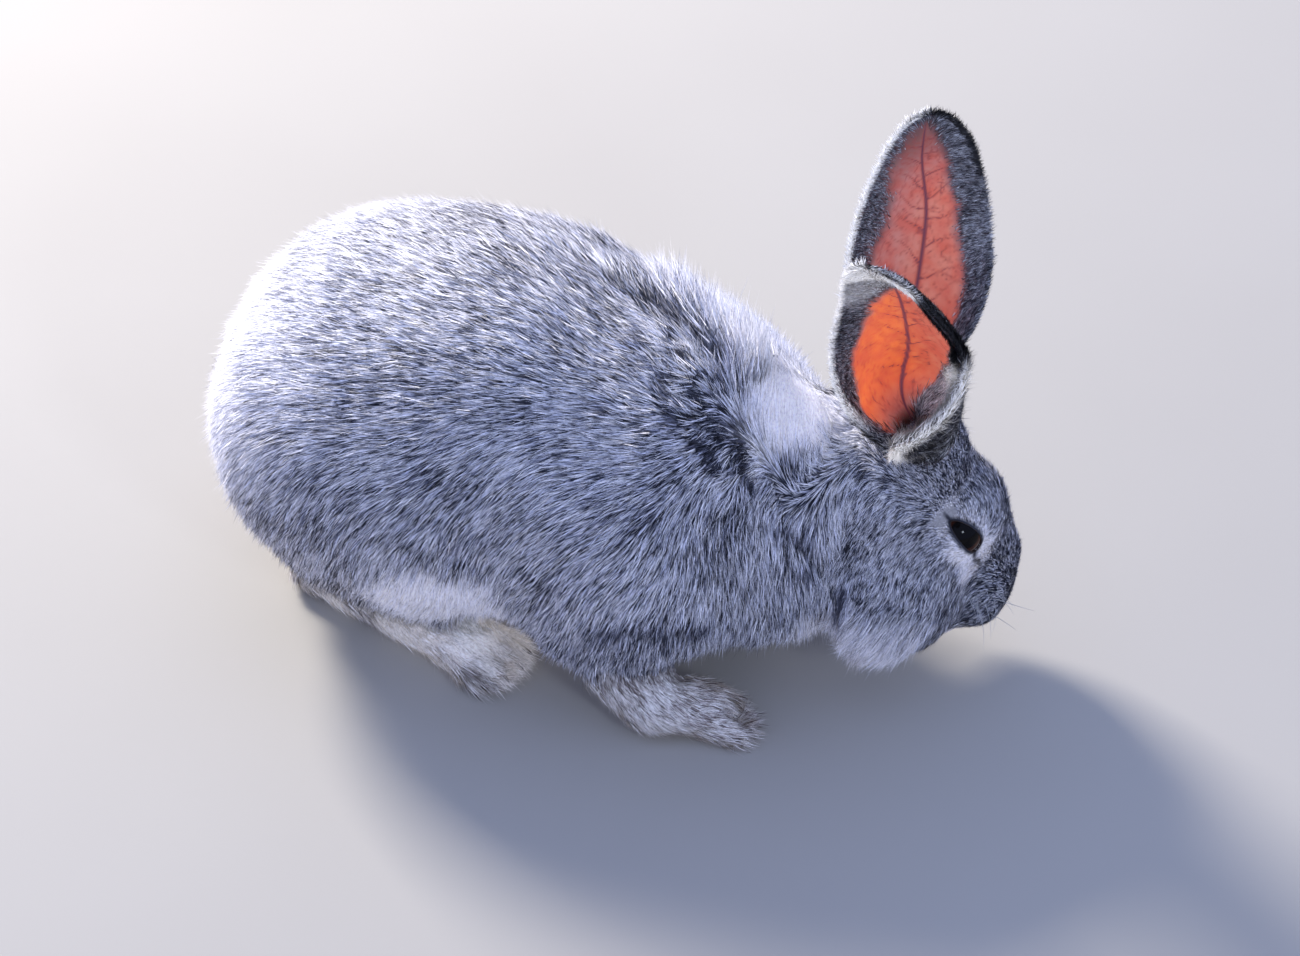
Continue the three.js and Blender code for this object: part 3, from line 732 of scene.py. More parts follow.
def growth(co, shares, marks, collar):
    """The length, width and lift of tufts, and how densely they grow, at each vertex of the body."""
    length, width, lift, density = (of_parts(shares, k) for k in (1, 2, 3, 4))
    bare = np.zeros(len(co))
    for side in SIDES:
        outside = from_opening(co, side)
        near = distance(co, eyes[side]) < ROUND_EYE
        close = near * ramp(outside, 9 * MM, 1 * MM)
        length = mix(length, 2.2, close)
        width = mix(width, 0.3, close)
        density = mix(density, 9.0, close)
        lift = mix(lift, 16, close)
        nostril = ramp(on_skin(co, NOSTRILS[side])[0], 2.0 * MM, 1.2 * MM)
        bare = np.maximum.reduce([bare, near * ramp(outside, 0.6 * MM, 0.0), nostril])
    snout = ramp(in_head(co)[:, 0], 80 * MM, 106 * MM) * shares["head"]
    length = mix(length, 2.4, snout)
    width = mix(width, 0.32, snout)
    density = mix(density, 8.0, snout)
    jowl = marked(co, [(from_head(50, s * 20, -44), (34, 20, 20), 1.0) for s in SIDES.values()])
    length = mix(length, 13.0, jowl * shares["head"])
    length = mix(length, 18.0, collar)
    lift = lift + 22 * collar + 14 * marks["ruffle"] + 10 * marks["slate"]
    lift = mix(lift, 17.0, marked(co, [NAPE_PATCH]))
    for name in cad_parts:
        if "claw" in name:
            toe = ramp(distance(co, middle(name)), 16 * MM, 9 * MM)
            length = mix(length, 13.0, toe)
            lift = mix(lift, 20.0, toe)
    return {"length": length, "width": width, "lift": lift, "density": density * (1 - bare)}


def near_ear(u, s, left, right, top, uneven):
    """The right ear's inner face: how furred, black, pale, dusky, glowing and fringed each place is. The pale
    left edge and right fold and the glow of the bare middle are painted backlight.
    """
    broad = np.interp(u, (0.06, 0.12, 0.21, 0.4, 0.55), (1, 6, 20, 21, 18))
    left_band = ramp(left + 1.6 * uneven, broad + 5, broad - 5)
    edge = np.interp(u, (0.0, 0.05, 0.1, 0.2, 0.35, 0.45, 0.55), (-0.1, 0.0, 0.17, 0.24, 0.38, 0.6, 0.9))
    fold = ramp(s - edge + 0.02 * uneven, -0.02, 0.07) * ramp(u, 0.6, 0.5)
    right_band = np.maximum(ramp(right + uneven, 14, 9) * ramp(u, 0.42, 0.52), fold)
    lean = mix(18, 0, ramp(s, -0.4, 0.2))
    tip_band = ramp(top + uneven - lean, 40, 26)
    lacing = ramp(right, 5.5, 4.5) * ramp(u, 0.47, 0.53) * ramp(u, 0.86, 0.77)
    beside_black = 0.7 * ramp(right, 14, 10) * ramp(u, 0.45, 0.55)
    # Painted backlight: pale hair along the left edge and along the fold at the right.
    backlit_seam = ramp(left, 3.2, 1.4) * ramp(u, 0.08, 0.2)
    backlit_fold = fold * mix(0.35, 0.85, ramp(s - edge, 0.5, 0.2)) * mix(0.3, 1, ramp(u, 0.06, 0.2))
    light = np.maximum.reduce([backlit_seam, backlit_fold, beside_black, ramp(top, 33, 22), 0.55 * tip_band])
    # Painted backlight: how strongly the bare skin glows, a little less to one side and none at the root.
    glow = mix(1.0, 0.72, ramp(s, -0.15, 0.3)) * ramp(u, 0.0, 0.13)
    fringe = ramp(right, 9, 3) * ramp(u, 0.6, 0.5)
    furred = np.maximum.reduce([left_band, right_band, tip_band])
    return furred, lacing, light * (1 - lacing), 0.32 * left_band, glow, fringe


def far_ear(u, s, left, right, top, uneven):
    """The same for the left ear, which is more evenly banded and glows less. Its pale left edge and its glow
    are painted backlight.
    """
    broad = mix(18, 5, ramp(u, 0.4, 0.75))
    left_band = 0.75 * ramp(left + 1.5 * uneven, broad + 8, broad - 6)
    right_band = ramp(right + uneven, 15, 6)
    # Painted backlight: pale hair along the left edge.
    light = ramp(left, 2.8, 1.2)
    lacing = np.maximum(ramp(np.minimum(left, right), 3.2, 2.0) * ramp(u, 0.6, 0.75), ramp(top, 5, 3))
    dusk = np.maximum(0.4 * left_band, 0.12 * right_band)
    # Painted backlight: how strongly the bare skin glows, fading towards the tip.
    glow = 0.55 * mix(1.0, 0.35, ramp(u, 0.55, 0.9)) * mix(0.65, 1.15, ramp(s, -0.5, 0.4))
    glow = glow * ramp(u, -0.02, 0.13)
    furred = np.maximum.reduce([left_band, right_band, ramp(top + uneven, 9, 3)])
    return furred, lacing * (1 - light), light, dusk, glow, np.zeros(len(u))


def ear_coat(side, ear, co, triangles, facts):
    """What grows on an ear: short grey fur outside, furred margins and a bare glowing middle inside, and a
    black lacing round the tip. The pale rims and the glow are painted backlight."""
    u, s, inner = facts["u"], facts["s"], facts["inner"]
    normals = vertex_normals(co, triangles)
    half = ear_half(ear, np.clip(u, 0, 1)) / MM
    uneven = 1.6 * noise(co, 7 * MM, 31) + 1.0 * noise(co, 2.5 * MM, 32)
    left, right, top = (1 + s) * half, (1 - s) * half, (1 - u) * EAR_LENGTH / MM
    bands = {"right": near_ear, "left": far_ear}[side]
    furred, lacing, light, dusk, glow, fringe = bands(u, s, left, right, top, uneven)
    # Painted backlight: pale hair along the edges of the outer face too.
    rims = fringe * ramp(right, 3, 1.5) * ramp(u, 0.04, 0.14)
    rims = np.maximum(ramp(left, 3, 1) * ramp(u, 0.08, 0.2), rims)
    outside = np.maximum(0.1 * ramp(u, 0.3, 0.0), rims)
    light = mix(outside, light, inner).clip(0, 1) * ramp(u, -0.01, 0.06)
    dusk = np.where(inner > 0.5, dusk * furred, 0.55)
    slant = np.stack([np.zeros_like(u), (2.4 * inner + 0.4) * s, np.ones_like(u)], axis=1)
    lie = slant @ ear_frame(ear)[1]
    return {
        "length": mix(4.0, 3.6, inner) + 3.5 * ramp(u, 0.25, 0.0) + 3.5 * fringe,
        "width": np.full(len(u), 0.34),
        "lift": mix(18.0, 28.0, np.abs(s) ** 4) + 14 * fringe,
        "density": mix(6.0, 8.0 * furred**1.5, inner) * ramp(u, -0.07, -0.05),
        "pale": (light * (1 - lacing)).clip(0, 1),
        "dusk": dusk * (1 - light).clip(0, 1),
        "dark": lacing,
        "slate": np.zeros(len(u)),
        "ruffle": np.zeros(len(u)),
        "flecks": 0.45 + 0.7 * ramp(u, 0.25, 0.05),
        "ear": np.ones(len(u)),
        "inner": inner,
        "vein": facts["vein"] * (1 - 0.7 * furred),
        "glow": inner * (1 - furred) * glow,
        "furred": np.maximum(furred, 1 - inner),
        "lie": unit(lie - normals * dot(lie, normals)[:, None]),
        "normal": normals,
    }


# ---- The whole skin ----
def build_skin():
    """One mesh of body, head, legs, tail and ears, with what grows on each vertex."""
    co, triangles, normals, shares = build_body()
    kept = np.ones(len(triangles), bool)
    for side in SIDES:
        near = distance(co, eyes[side]) < 1.35 * EYE_RADIUS
        inside = near & (from_opening(co, side) < 0)
        kept &= ~inside[triangles].all(axis=1)
    marks, collar = markings(co, normals, shares)
    facts = [{
        **marks,
        **growth(co, shares, marks, collar),
        **{key: np.zeros(len(co)) for key in ("ear", "inner", "vein", "glow")},
        "furred": np.ones(len(co)),
        "lie": lie_of_coat(co, normals, shares, Edges(triangles, len(co))),
        "normal": normals,
        "part": np.argmax(np.stack([shares[p] for p in PARTS]), axis=0),
    }]
    surfaces = [(co, triangles[kept])]
    for n, (side, ear) in enumerate(EARS.items()):
        ear_co, ear_triangles, ear_facts = build_ear(ear)
        surfaces.append((ear_co, ear_triangles))
        facts.append(ear_coat(side, ear, ear_co, ear_triangles, ear_facts))
        facts[-1]["part"] = np.full(len(ear_co), len(PARTS) + n)
    return *joined(surfaces), {key: np.concatenate([f[key] for f in facts]) for key in facts[0]}


# ---- Materials ----
class Shader:
    """A node material with one Principled shader, and short ways to add nodes to it."""

    def __init__(self, name, **settings):
        self.material = bpy.data.materials.new(name)
        self.material.use_nodes = True
        self.tree = self.material.node_tree
        self.inputs = self.tree.nodes["Principled BSDF"].inputs
        for socket, value in settings.items():
            self.inputs[socket.replace("_", " ")].default_value = value

    def node(self, kind, **inputs):
        made = self.tree.nodes.new("ShaderNode" + kind)
        for name, value in inputs.items():
            self.feed(made.inputs[name], value)
        return made

    def feed(self, socket, value):
        if isinstance(value, bpy.types.NodeSocket):
            self.tree.links.new(value, socket)
        else:
            socket.default_value = value

    def attribute(self, name):
        made = self.node("Attribute")
        made.attribute_name = name
        return made.outputs

    def operated(self, kind, operation, a, b):
        """A node that multiplies, or does what else is named, with two numbers or two colours."""
        made = self.node(kind)
        made.operation = operation
        self.feed(made.inputs[0], a)
        self.feed(made.inputs[1], b)
        return made

    def times(self, a, b, clamp=False):
        made = self.operated("Math", "MULTIPLY", a, b)
        made.use_clamp = clamp
        return made.outputs[0]

    def blend(self, a, b, amount):
        made = self.node("Mix")
        made.data_type = "RGBA"
        self.feed(made.inputs[0], amount)
        self.feed(made.inputs[6], a)
        self.feed(made.inputs[7], b)
        return made.outputs[2]

    def steps(self, value, *stops):
        """Looks a value up between stops, each a value with its grey level or colour."""
        made = self.node("ValToRGB")
        while len(made.color_ramp.elements) < len(stops):
            made.color_ramp.elements.new(0.5)
        for element, (place, level) in zip(made.color_ramp.elements, stops):
            element.position = place
            element.color = (*(level if np.ndim(level) else (level, level, level)), 1)
        self.feed(made.inputs[0], value)
        return made.outputs[0]

    def lumps(self, scale, detail=2.0):
        coordinates = self.node("TexCoord").outputs["Object"]
        return self.node("TexNoise", Vector=coordinates, Scale=scale, Detail=detail).outputs[0]

    def colour(self, value):
        self.feed(self.inputs["Base Color"], value)

    def bump(self, height, strength, distance):
        made = self.node("Bump", Strength=strength, Distance=distance, Height=height)
        self.feed(self.inputs["Normal"], made.outputs[0])

    def emit(self, colour, strength):
        self.feed(self.inputs["Emission Color"], colour)
        self.feed(self.inputs["Emission Strength"], strength)


def rgb(*values):
    return (*values, 1.0)


# Of each coat: its material's name, how strongly its pale hair glows (painted light, standing in for light
# coming through it), its colour at the root, and its tones from white to black.
COAT_LOOKS = {
    "body": (
        "coat", 0.16, (0.055, 0.06, 0.085),
        (0.98, 0.955, 1.0), (0.85, 0.855, 1.0), (0.225, 0.23, 0.31), (0.02, 0.02, 0.03),
    ),
    "paw": (
        "paw_coat", 0.12, (0.20, 0.16, 0.155),
        (1.0, 0.97, 0.97), (0.92, 0.86, 0.87), (0.42, 0.35, 0.35), (0.10, 0.07, 0.07),
    ),
    "ear": (
        "ear_coat", 0.35, (0.10, 0.085, 0.09),
        (0.94, 0.93, 0.94), (0.45, 0.44, 0.48), (0.10, 0.09, 0.10), (0.012, 0.011, 0.012),
    ),
}


def coat_material(name, painted_glow, under, *tones):
    """Hair that is dark blue-grey at the root and anything from white to black further out. The coat
    attribute holds:
    how far along the hair, how dark it is, how pale its marking and how black its marking; some of the dark
    and black is painted shade, some of the pale is painted sunlight and backlight, and pale hair glows,
    painted light."""
    shader = Shader(name, Roughness=0.6, Specular_IOR_Level=0.3)
    coat = shader.attribute("coat")
    along, tick, pale = shader.node("SeparateColor", Color=coat[0]).outputs
    black = rgb(*tones[-1])
    grain = shader.steps(shader.lumps(900), (0.35, 0.78), (0.6, 1))
    tone = shader.steps(tick, *zip((0.0, 0.42, 0.68, 0.94), tones))
    root = shader.blend(rgb(*under), rgb(*(0.5 * c for c in tones[0])), pale)
    hair = shader.blend(root, tone, shader.steps(along, (0.24, 0), (0.64, 1)))
    tip = shader.steps(along, (0.72, 0), (0.92, 1))
    ticked = shader.steps(tick, (0.35, 0), (0.6, 1))
    hair = shader.blend(hair, black, shader.times(tip, ticked))
    hair = shader.blend(hair, black, shader.times(coat[3], 0.92))
    hair = shader.operated("VectorMath", "MULTIPLY", hair, grain).outputs[0]
    shader.colour(hair)
    # Painted glow: pale hair gives off light of its own colour, standing in for light coming through it.
    shader.emit(hair, shader.times(pale, painted_glow))
    return shader.material


def ear_material():
    """Thin skin with purple veins, greyer under its margins' fur, and painted backlight: orange and glowing
    where light would come through it, dark red-brown near the root.
    """
    shader = Shader(
        "ear_skin", Roughness=0.5, Subsurface_Weight=0.3, Subsurface_Radius=(1.0, 0.32, 0.12),
        Subsurface_Scale=0.003,
    )
    marks = shader.attribute("ear_marks")
    vein, furred, inner = shader.node("SeparateColor", Color=marks[0]).outputs
    glow = marks[3]
    lumps = shader.steps(shader.lumps(120, 3.0), (0.35, 0), (0.65, 1))
    # Painted backlight: the glow turns the bare skin orange, and dark red-brown near the root where it is
    # low.
    warm = shader.blend(rgb(0.56, 0.26, 0.235), rgb(0.95, 0.21, 0.06), shader.times(glow, glow))
    warm = shader.blend(warm, rgb(0.66, 0.10, 0.06), shader.times(lumps, 0.65))
    warm = shader.blend(rgb(0.16, 0.05, 0.035), warm, shader.times(glow, 2.6, clamp=True))
    warm = shader.blend(warm, rgb(0.45, 0.07, 0.05), shader.times(vein, 1.3, clamp=True))
    skin = shader.blend(warm, rgb(0.17, 0.05, 0.075), shader.steps(vein, (0.35, 0), (0.75, 1)))
    skin = shader.blend(skin, rgb(0.17, 0.11, 0.115), furred)
    skin = shader.blend(rgb(0.24, 0.21, 0.22), skin, inner)
    shader.colour(skin)
    # Painted glow: the bare skin gives off light of its own colour where it glows.
    shader.emit(skin, shader.times(glow, 0.52))
    shader.bump(shader.lumps(900), 0.25, 0.0004)
    return shader.material


def lid_material():
    shader = Shader("lid", Roughness=0.6, Specular_IOR_Level=0.2)
    shader.colour(shader.blend(rgb(0.018, 0.012, 0.012), rgb(0.05, 0.035, 0.032), shader.lumps(700)))
    shader.bump(shader.lumps(1500), 0.3, 0.0002)
    return shader.material


def eye_material():
    """A black pupil in a dark red-brown iris, under a wet cornea. The gaze attribute is the angle from where
    the eye looks, as a share of a right angle."""
    shader = Shader("eye", Roughness=0.06, IOR=1.2)
    gaze = shader.attribute("gaze")[2]
    streaks = shader.node("TexNoise", Vector=shader.attribute("spoke")[1], Scale=9.0, Detail=3.0).outputs[0]
    iris = shader.blend(rgb(0.012, 0.005, 0.004), rgb(0.07, 0.020, 0.009), streaks)
    ring = shader.steps(gaze, (0.36, 0), (0.42, 1), (0.58, 1), (0.66, 0.15))
    shader.colour(shader.blend(rgb(0.004, 0.003, 0.003), iris, ring))
    return shader.material


def horn_material():
    shader = Shader("horn", Roughness=0.35)
    shader.colour(shader.blend(rgb(0.03, 0.022, 0.018), rgb(0.12, 0.085, 0.06), shader.lumps(260, 3.0)))
    shader.bump(shader.lumps(1100), 0.3, 0.0002)
    return shader.material


def whisker_material():
    shader = Shader("whisker", Roughness=0.4)
    shader.colour(shader.blend(rgb(0.6, 0.58, 0.56), rgb(0.85, 0.84, 0.82), shader.lumps(90)))
    return shader.material


def floor_material():
    shader = Shader("floor", Roughness=0.85)
    shader.colour(shader.blend(rgb(0.39, 0.365, 0.33), rgb(0.42, 0.395, 0.36), shader.lumps(6)))
    return shader.material


# ---- Tufts ----
def tuft_roots(co, triangles, facts, count):
    """Picks triangles in proportion to their area and density, and a place on each."""
    a, b, c = (co[triangles[:, k]] for k in range(3))
    area = np.linalg.norm(np.cross(b - a, c - a), axis=1) / 2
    weight = np.cumsum(area * facts["density"][triangles].mean(axis=1))
    spots = (np.arange(count) + rng.random(count)) / count * weight[-1]
    chosen = np.minimum(np.searchsorted(weight, spots), len(triangles) - 1)
    r1, r2 = np.sqrt(rng.random(count)), rng.random(count)
    return chosen, np.stack([1 - r1, r1 * (1 - r2), r1 * r2], axis=1)


def tuft_ways(place, normal, lie, facts):
    """For each tuft, the way it lies, the way across it, its length and its lift at the root."""
    count = len(place)
    spread = (0.20 + 0.75 * facts["ruffle"]) * noise(place, 5 * MM, 41) + rng.normal(0, 0.15, count)
    way = unit(lie + np.cross(normal, lie) * spread[:, None])
    side = unit(np.cross(normal, way))
    uneven = 1 + 0.15 * noise(place, 7 * MM, 42) + rng.normal(0, 0.16, count)
    length = facts["length"] * MM * uneven.clip(0.45, 1.5)
    lift = (0.3 + 0.4 * facts["ruffle"]) * noise(place, 6 * MM, 43) + rng.normal(0, 0.24, count)
    return way, side, length, np.radians(facts["lift"] * (1 + lift).clip(0.2, 2.0))


def tilted(way, normal, angle):
    """Each way, raised from the skin by its angle."""
    return way * np.cos(angle)[:, None] + normal * np.sin(angle)[:, None]


def tuft_shapes(place, normal, lie, facts):
    """Four corners for each tuft: its root, the two sides of its broad middle, and its tip."""
    way, side, length, lift = tuft_ways(place, normal, lie, facts)
    across = tilted(side, normal, rng.normal(0, 0.42, len(place)))
    broad = (1 + rng.normal(0, 0.25, len(place))).clip(0.4, 1.7)
    half = across * (facts["width"] * MM * 0.5 * broad)[:, None]
    root = place - normal * 0.3 * MM
    mid = root + tilted(way, normal, lift) * (length * 0.45)[:, None]
    tip = mid + tilted(way, normal, lift * 0.25) * (length * 0.55)[:, None]
    return np.stack([root, mid - half, mid + half, tip], axis=1)


def hair_shapes(place, normal, lie, facts):
    """Three corners for each stiff outer hair: the two sides of its root, and its tip."""
    way, side, length, lift = tuft_ways(place, normal, lie, facts)
    half = side * (facts["width"] * MM * 0.36)[:, None]
    root = place - normal * 0.3 * MM
    tip = root + tilted(way, normal, lift * 0.85) * (length * 1.05)[:, None]
    return np.stack([root - half, root + half, tip], axis=1)


# Of each kind of coat: how its corners are shaped, its triangles, how far along the hair each corner is,
# and where each lies on the tuft's patch of the map.
TUFT = {
    "shapes": tuft_shapes,
    "faces": np.array([[0, 1, 2], [1, 3, 2]]),
    "along": np.array([0.0, 0.45, 0.45, 1.0]),
    "map": np.array([[0.0, -0.5], [-0.5, -0.1], [0.5, -0.1], [0.0, 0.5]]) * PATCH,
}
HAIR = {
    "shapes": hair_shapes,
    "faces": np.array([[0, 2, 1]]),
    "along": np.array([0.0, 0.0, 1.0]),
    "map": np.array([[-0.5, -0.5], [0.5, -0.5], [0.0, 0.5]]) * PATCH,
}


def unwrapped(obj):
    """Unwraps a mesh by its own shape and gives each triangle corner's place on the map."""
    obj.data.uv_layers.new(name="OFBake")
    bpy.context.view_layer.objects.active = obj
    obj.select_set(True)
    bpy.ops.object.mode_set(mode="EDIT")
    bpy.ops.mesh.select_all(action="SELECT")
    bpy.ops.uv.smart_project(angle_limit=1.15, island_margin=0.002)
    bpy.ops.object.mode_set(mode="OBJECT")
    uv = np.empty(len(obj.data.loops) * 2, np.float32)
    obj.data.uv_layers["OFBake"].uv.foreach_get("vector", uv)
    return uv.reshape(-1, 3, 2)


def coat_piece(name, slot, material, kind, shape, marks, uv, normals):
    corners = len(kind["along"])
    faces = (kind["faces"] + corners * np.arange(len(shape))[:, None, None]).reshape(-1, 3)
    obj = mesh_object(name, shape.reshape(-1, 3), faces, [material])
    values = np.repeat(marks[:, None, :], corners, axis=1)
    values[:, :, 0] = kind["along"]
    add_attribute(obj, "coat", "FLOAT_COLOR", values)
    add_attribute(obj, "custom_normal", "FLOAT_VECTOR", np.repeat(normals, corners, axis=0))
    places = uv[:, None, None, :] + kind["map"][kind["faces"]]
    obj.data.uv_layers.new(name="OFBake").uv.foreach_set("vector", floats(places))
    piece(obj, slot)


def coat_marks(place, facts):
    """What each tuft shows: nothing yet for how far along it is, then how dark, pale and black it is."""
    count = len(place)
    flecks = 0.62 * noise(place, 1.3 * MM, 51) + 0.24 * noise(place, 12 * MM, 52) + rng.normal(0, 0.48, count)
    tick = 0.46 + flecks * facts["flecks"]
    tick = tick * (1 - 0.88 * facts["pale"]) + facts["dusk"] * (0.3 + 0.3 * tick)
    # In the ruffle some clumps are lighter and the gaps between them darker: dark roots, and partly painted
    # shade.
    clumps = noise(place, 4 * MM, 53)
    gaps = facts["ruffle"] * ramp(clumps, -0.1, 0.35)
    tick -= 0.55 * facts["ruffle"] * ramp(clumps, 0.0, -0.4)
    tick = np.maximum.reduce([tick, 0.95 * facts["slate"], 0.88 * gaps])
    return np.stack([np.zeros(count), tick, facts["pale"], facts["dark"]], axis=1).clip(0, 1)


def grow_coat(co, triangles, facts, corner_uv, materials, label, kind, count):
    chosen, share = tuft_roots(co, triangles, facts, count)

    def at_roots(values):
        picked = values[triangles[chosen]]
        return (picked * share[..., None] if picked.ndim == 3 else picked * share).sum(axis=1)

    place, normal, lie = at_roots(co), unit(at_roots(facts["normal"])), unit(at_roots(facts["lie"]))
    keys = ("length", "width", "lift", "pale", "dusk", "dark", "slate", "ruffle", "flecks")
    local = {key: at_roots(facts[key]) for key in keys}
    uv = (corner_uv[chosen] * share[..., None]).sum(axis=1)
    shape = kind["shapes"](place, normal, lie, local)
    shape[:, :, 2] = np.maximum(shape[:, :, 2], 0.15 * MM)
    marks = coat_marks(place, local)
    shading = unit(normal + rng.normal(0, 0.34, (count, 3)))
    part = facts["part"][triangles[chosen, 0]]
    for n, name in enumerate(PARTS + ["ear_right", "ear_left"]):
        mine = np.flatnonzero(part == n)
        order = mine[np.argsort(place[mine, 0], kind="stable")]
        pieces = max(1, -(-len(order) * len(kind["faces"]) // MOST_TRIANGLES))
        where = "ear" if name.startswith("ear") else "paw" if name.startswith(("fore", "hind")) else "body"
        slot = {"ear": "ear_skin", "paw": "pale_coat", "body": "coat"}[where]
        if name == "tail":
            slot = "tail_coat"
        for k, some in enumerate(np.array_split(order, pieces)):
            full = f"{label}_{name}" + (f"_{k + 1}" if pieces > 1 else "")
            coat_piece(full, slot, materials[where], kind, shape[some], marks[some], uv[some], shading[some])


# ---- Eyes, lids, whiskers and claws ----
def lid_rims():
    """The dark wet edge of the lids, a thin round bead along each opening."""
    rims = []
    turn = np.linspace(0, 2 * np.pi, 72, endpoint=False)
    round_eye = np.radians(mix(REAR_CORNER, FRONT_CORNER, 0.5 - 0.5 * np.cos(turn)))
    upper, lower = lid_heights(np.degrees(round_eye))
    rise = np.radians(np.where(np.sin(turn) > 0, upper, lower))
    local = np.stack([np.cos(rise) * np.cos(round_eye), np.cos(rise) * np.sin(round_eye), np.sin(rise)], 1)
    for side, s in SIDES.items():
        way = local @ eye_frame(side)
        line = eyes[side] + way * (EYE_RADIUS + LID_BEAD[0])
        forward = unit(np.roll(line, -1, 0) - np.roll(line, 1, 0))
        places, faces = tube(line, way * LID_BEAD[0], np.cross(way, forward) * LID_BEAD[1], 8, closed=True)
        rims.append((places, faces[:, ::s]))
    return joined(rims)


def make_eye(side, material):
    rings, around = 40, 48
    angle = np.linspace(0.004, np.pi - 0.004, rings)[:, None]
    turn = np.arange(around) * 2 * np.pi / around
    axes = eye_frame(side)
    bulge = EYE_RADIUS * (1 + 0.045 * ramp(np.degrees(angle), 48, 30))
    ball = np.broadcast_arrays(np.cos(angle), np.sin(angle) * np.cos(turn), np.sin(angle) * np.sin(turn))
    local = (np.stack(ball, -1) * bulge[..., None]).reshape(-1, 3)
    faces = ring_grid(rings, around, False)
    if np.linalg.det(axes) > 0:
        faces = faces[:, ::-1]
    obj = mesh_object(f"eyeball_{side}", eyes[side] + local @ axes, faces, [material])
    seen = unit(local) @ unit([1.0, -0.24, 0.06])
    add_attribute(obj, "gaze", "FLOAT", np.arccos(seen.clip(-1, 1)) / (np.pi / 2))
    spoke = np.broadcast_arrays(0.15 * angle, np.cos(turn), np.sin(turn))
    add_attribute(obj, "spoke", "FLOAT_VECTOR", np.stack(spoke, -1))
    piece(obj, "eye", f"eye_{side}")


def make_whiskers(material):
    """Long stiff hairs from the pads beside the nose, and two over each eye."""
    random = np.random.default_rng(5)
    rows = [(94, 9, 3), (91, 12, -1), (88, 13, -5), (94, 10, -6)]
    roots = [(x - 3 * k, y + 0.6 * k, z, 38 - 4 * k) for x, y, z in rows for k in range(4)]
    brows = [(44, 20, 25, 24), (50, 20, 24, 20)]
    t = np.linspace(0, 1, 9)[:, None]
    thick = mix(0.17, 0.04, t) * MM
    bend = -HEAD[0] * 0.35 + np.array([0, 0, -0.12])
    hairs = []
    for s in SIDES.values():
        for x, y, z, length in roots + brows:
            ahead, up = random.normal(-0.05, 0.16), random.normal(0.05, 0.2)
            way = unit(HEAD[1] * s + HEAD[0] * ahead + HEAD[2] * up)
            line = from_head(x, s * y, z) + length * MM * (way * t + bend * t * t)
            line[:, 2] = np.maximum(line[:, 2], 1.0 * MM)
            across = unit(np.cross(way, HEAD[2]))
            hairs.append(tube(line, across * thick, np.cross(way, across) * thick, 4))
    piece(mesh_object("whiskers", *joined(hairs), [material]), "horn")


def finish_claws(material):
    for name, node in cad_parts.items():
        if "claw" not in name:
            continue
        node.data.materials.clear()
        node.data.materials.append(material)
        node.modifiers.new("weld", "WELD").merge_threshold = 0.00002
        node.modifiers.new("round", "SUBSURF").render_levels = 2


# ---- The whole rabbit ----
def make_skin(co, triangles, facts, coat):
    """The skin's piece, with the wet edges of the lids. Gives each triangle corner's place on its map."""
    rims = lid_rims()
    places, faces = joined([(co, triangles), rims])
    material_of = np.concatenate([facts["ear"][triangles[:, 0]] > 0.5, np.full(len(rims[1]), 2)])
    skin = mesh_object("skin", places, faces, [coat, ear_material(), lid_material()], material_of)
    nothing = np.zeros(len(co))
    body = [nothing, nothing, facts["pale"], facts["dark"]]
    ears = [facts[key] for key in ("vein", "furred", "inner", "glow")]
    for name, columns in (("coat", body), ("ear_marks", ears)):
        values = np.zeros((len(places), 4))
        values[: len(co)] = np.stack(columns, 1)
        add_attribute(skin, name, "FLOAT_COLOR", values)
    corner_uv = unwrapped(skin)[: len(triangles)]
    piece(skin, "coat", *PARTS, "ear_right", "ear_left")
    return corner_uv


def make_rabbit():
    co, triangles, facts = build_skin()
    coats = {where: coat_material(*look) for where, look in COAT_LOOKS.items()}
    corner_uv = make_skin(co, triangles, facts, coats["body"])
    grow_coat(co, triangles, facts, corner_uv, coats, "coat", TUFT, TUFTS)
    grow_coat(co, triangles, facts, corner_uv, coats, "guard", HAIR, HAIRS)
    eye = eye_material()
    for side in SIDES:
        make_eye(side, eye)
    make_whiskers(whisker_material())
    finish_claws(horn_material())


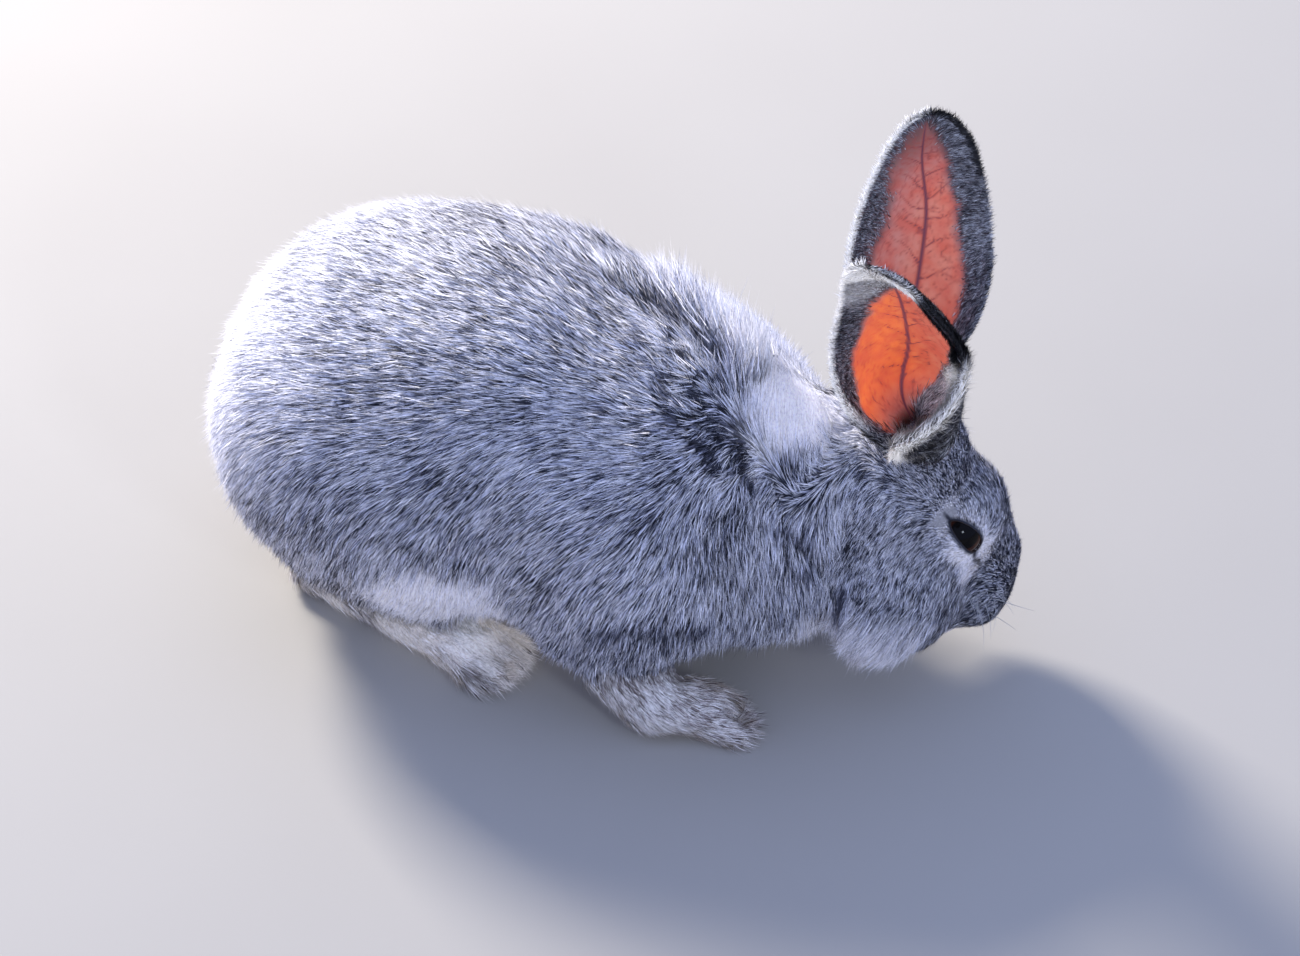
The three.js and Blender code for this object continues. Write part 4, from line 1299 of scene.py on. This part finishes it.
# ---- Floor, light and camera ----
FLOOR = 6.0  # from the middle to an edge
SKY = (0.48, 0.595, 1.0, 1)
# Each light: the way to it, how far it is, its size, power and colour.
LIGHTS = {
    "key": ((-0.74, 0.42, 0.54), 2.2, 0.6, 98, (1.0, 0.95, 0.87)),
    "fill": ((0.65, -0.59, 0.48), 2.6, 0.35, 13, (0.75, 0.85, 1.0)),
}
CAMERA_RIGHT = np.array([0.927, 0.375, 0.0])
CAMERA_BACK = np.array([0.287, -0.710, 0.643])
CAMERA_DISTANCE = 2.396
CAMERA_LENS = 166.0
CAMERA_AIM = at((19.2, 0.1, 77.8))[0]  # in the middle of the view


def make_stage():
    corners = np.array([[-1, -1, 0], [1, -1, 0], [1, 1, 0], [-1, 1, 0]]) * FLOOR
    mesh_object("floor", corners, np.array([[0, 1, 2], [0, 2, 3]]), [floor_material()])
    world = bpy.data.worlds.new("studio")
    world.use_nodes = True
    world.node_tree.nodes["Background"].inputs[0].default_value = SKY
    world.node_tree.nodes["Background"].inputs[1].default_value = 1.0
    bpy.context.scene.world = world


def make_lights():
    centre = Vector((0, 0, 0.1))
    for name, (way, distant, size, power, colour) in LIGHTS.items():
        light = bpy.data.lights.new(name, "AREA")
        light.size = size
        light.energy = power
        light.color = colour
        obj = linked(name, light)
        obj.location = centre + Vector(unit(way)) * distant
        obj.rotation_euler = (centre - obj.location).to_track_quat("-Z", "Y").to_euler()


def make_camera():
    back = unit(CAMERA_BACK)
    right = unit(CAMERA_RIGHT - back * (CAMERA_RIGHT @ back))
    up = np.cross(back, right)
    data = bpy.data.cameras.new("camera")
    data.lens = CAMERA_LENS
    data.sensor_width = 36
    data.clip_end = 50
    turn = Matrix(np.array([right, up, back]).T.tolist())
    obj = linked("camera", data)
    obj.matrix_world = Matrix.LocRotScale(Vector(CAMERA_AIM + back * CAMERA_DISTANCE), turn, None)
    bpy.context.scene.camera = obj


bpy.context.scene.view_settings.view_transform = "Standard"
make_camera()
make_stage()
make_lights()
make_rabbit()
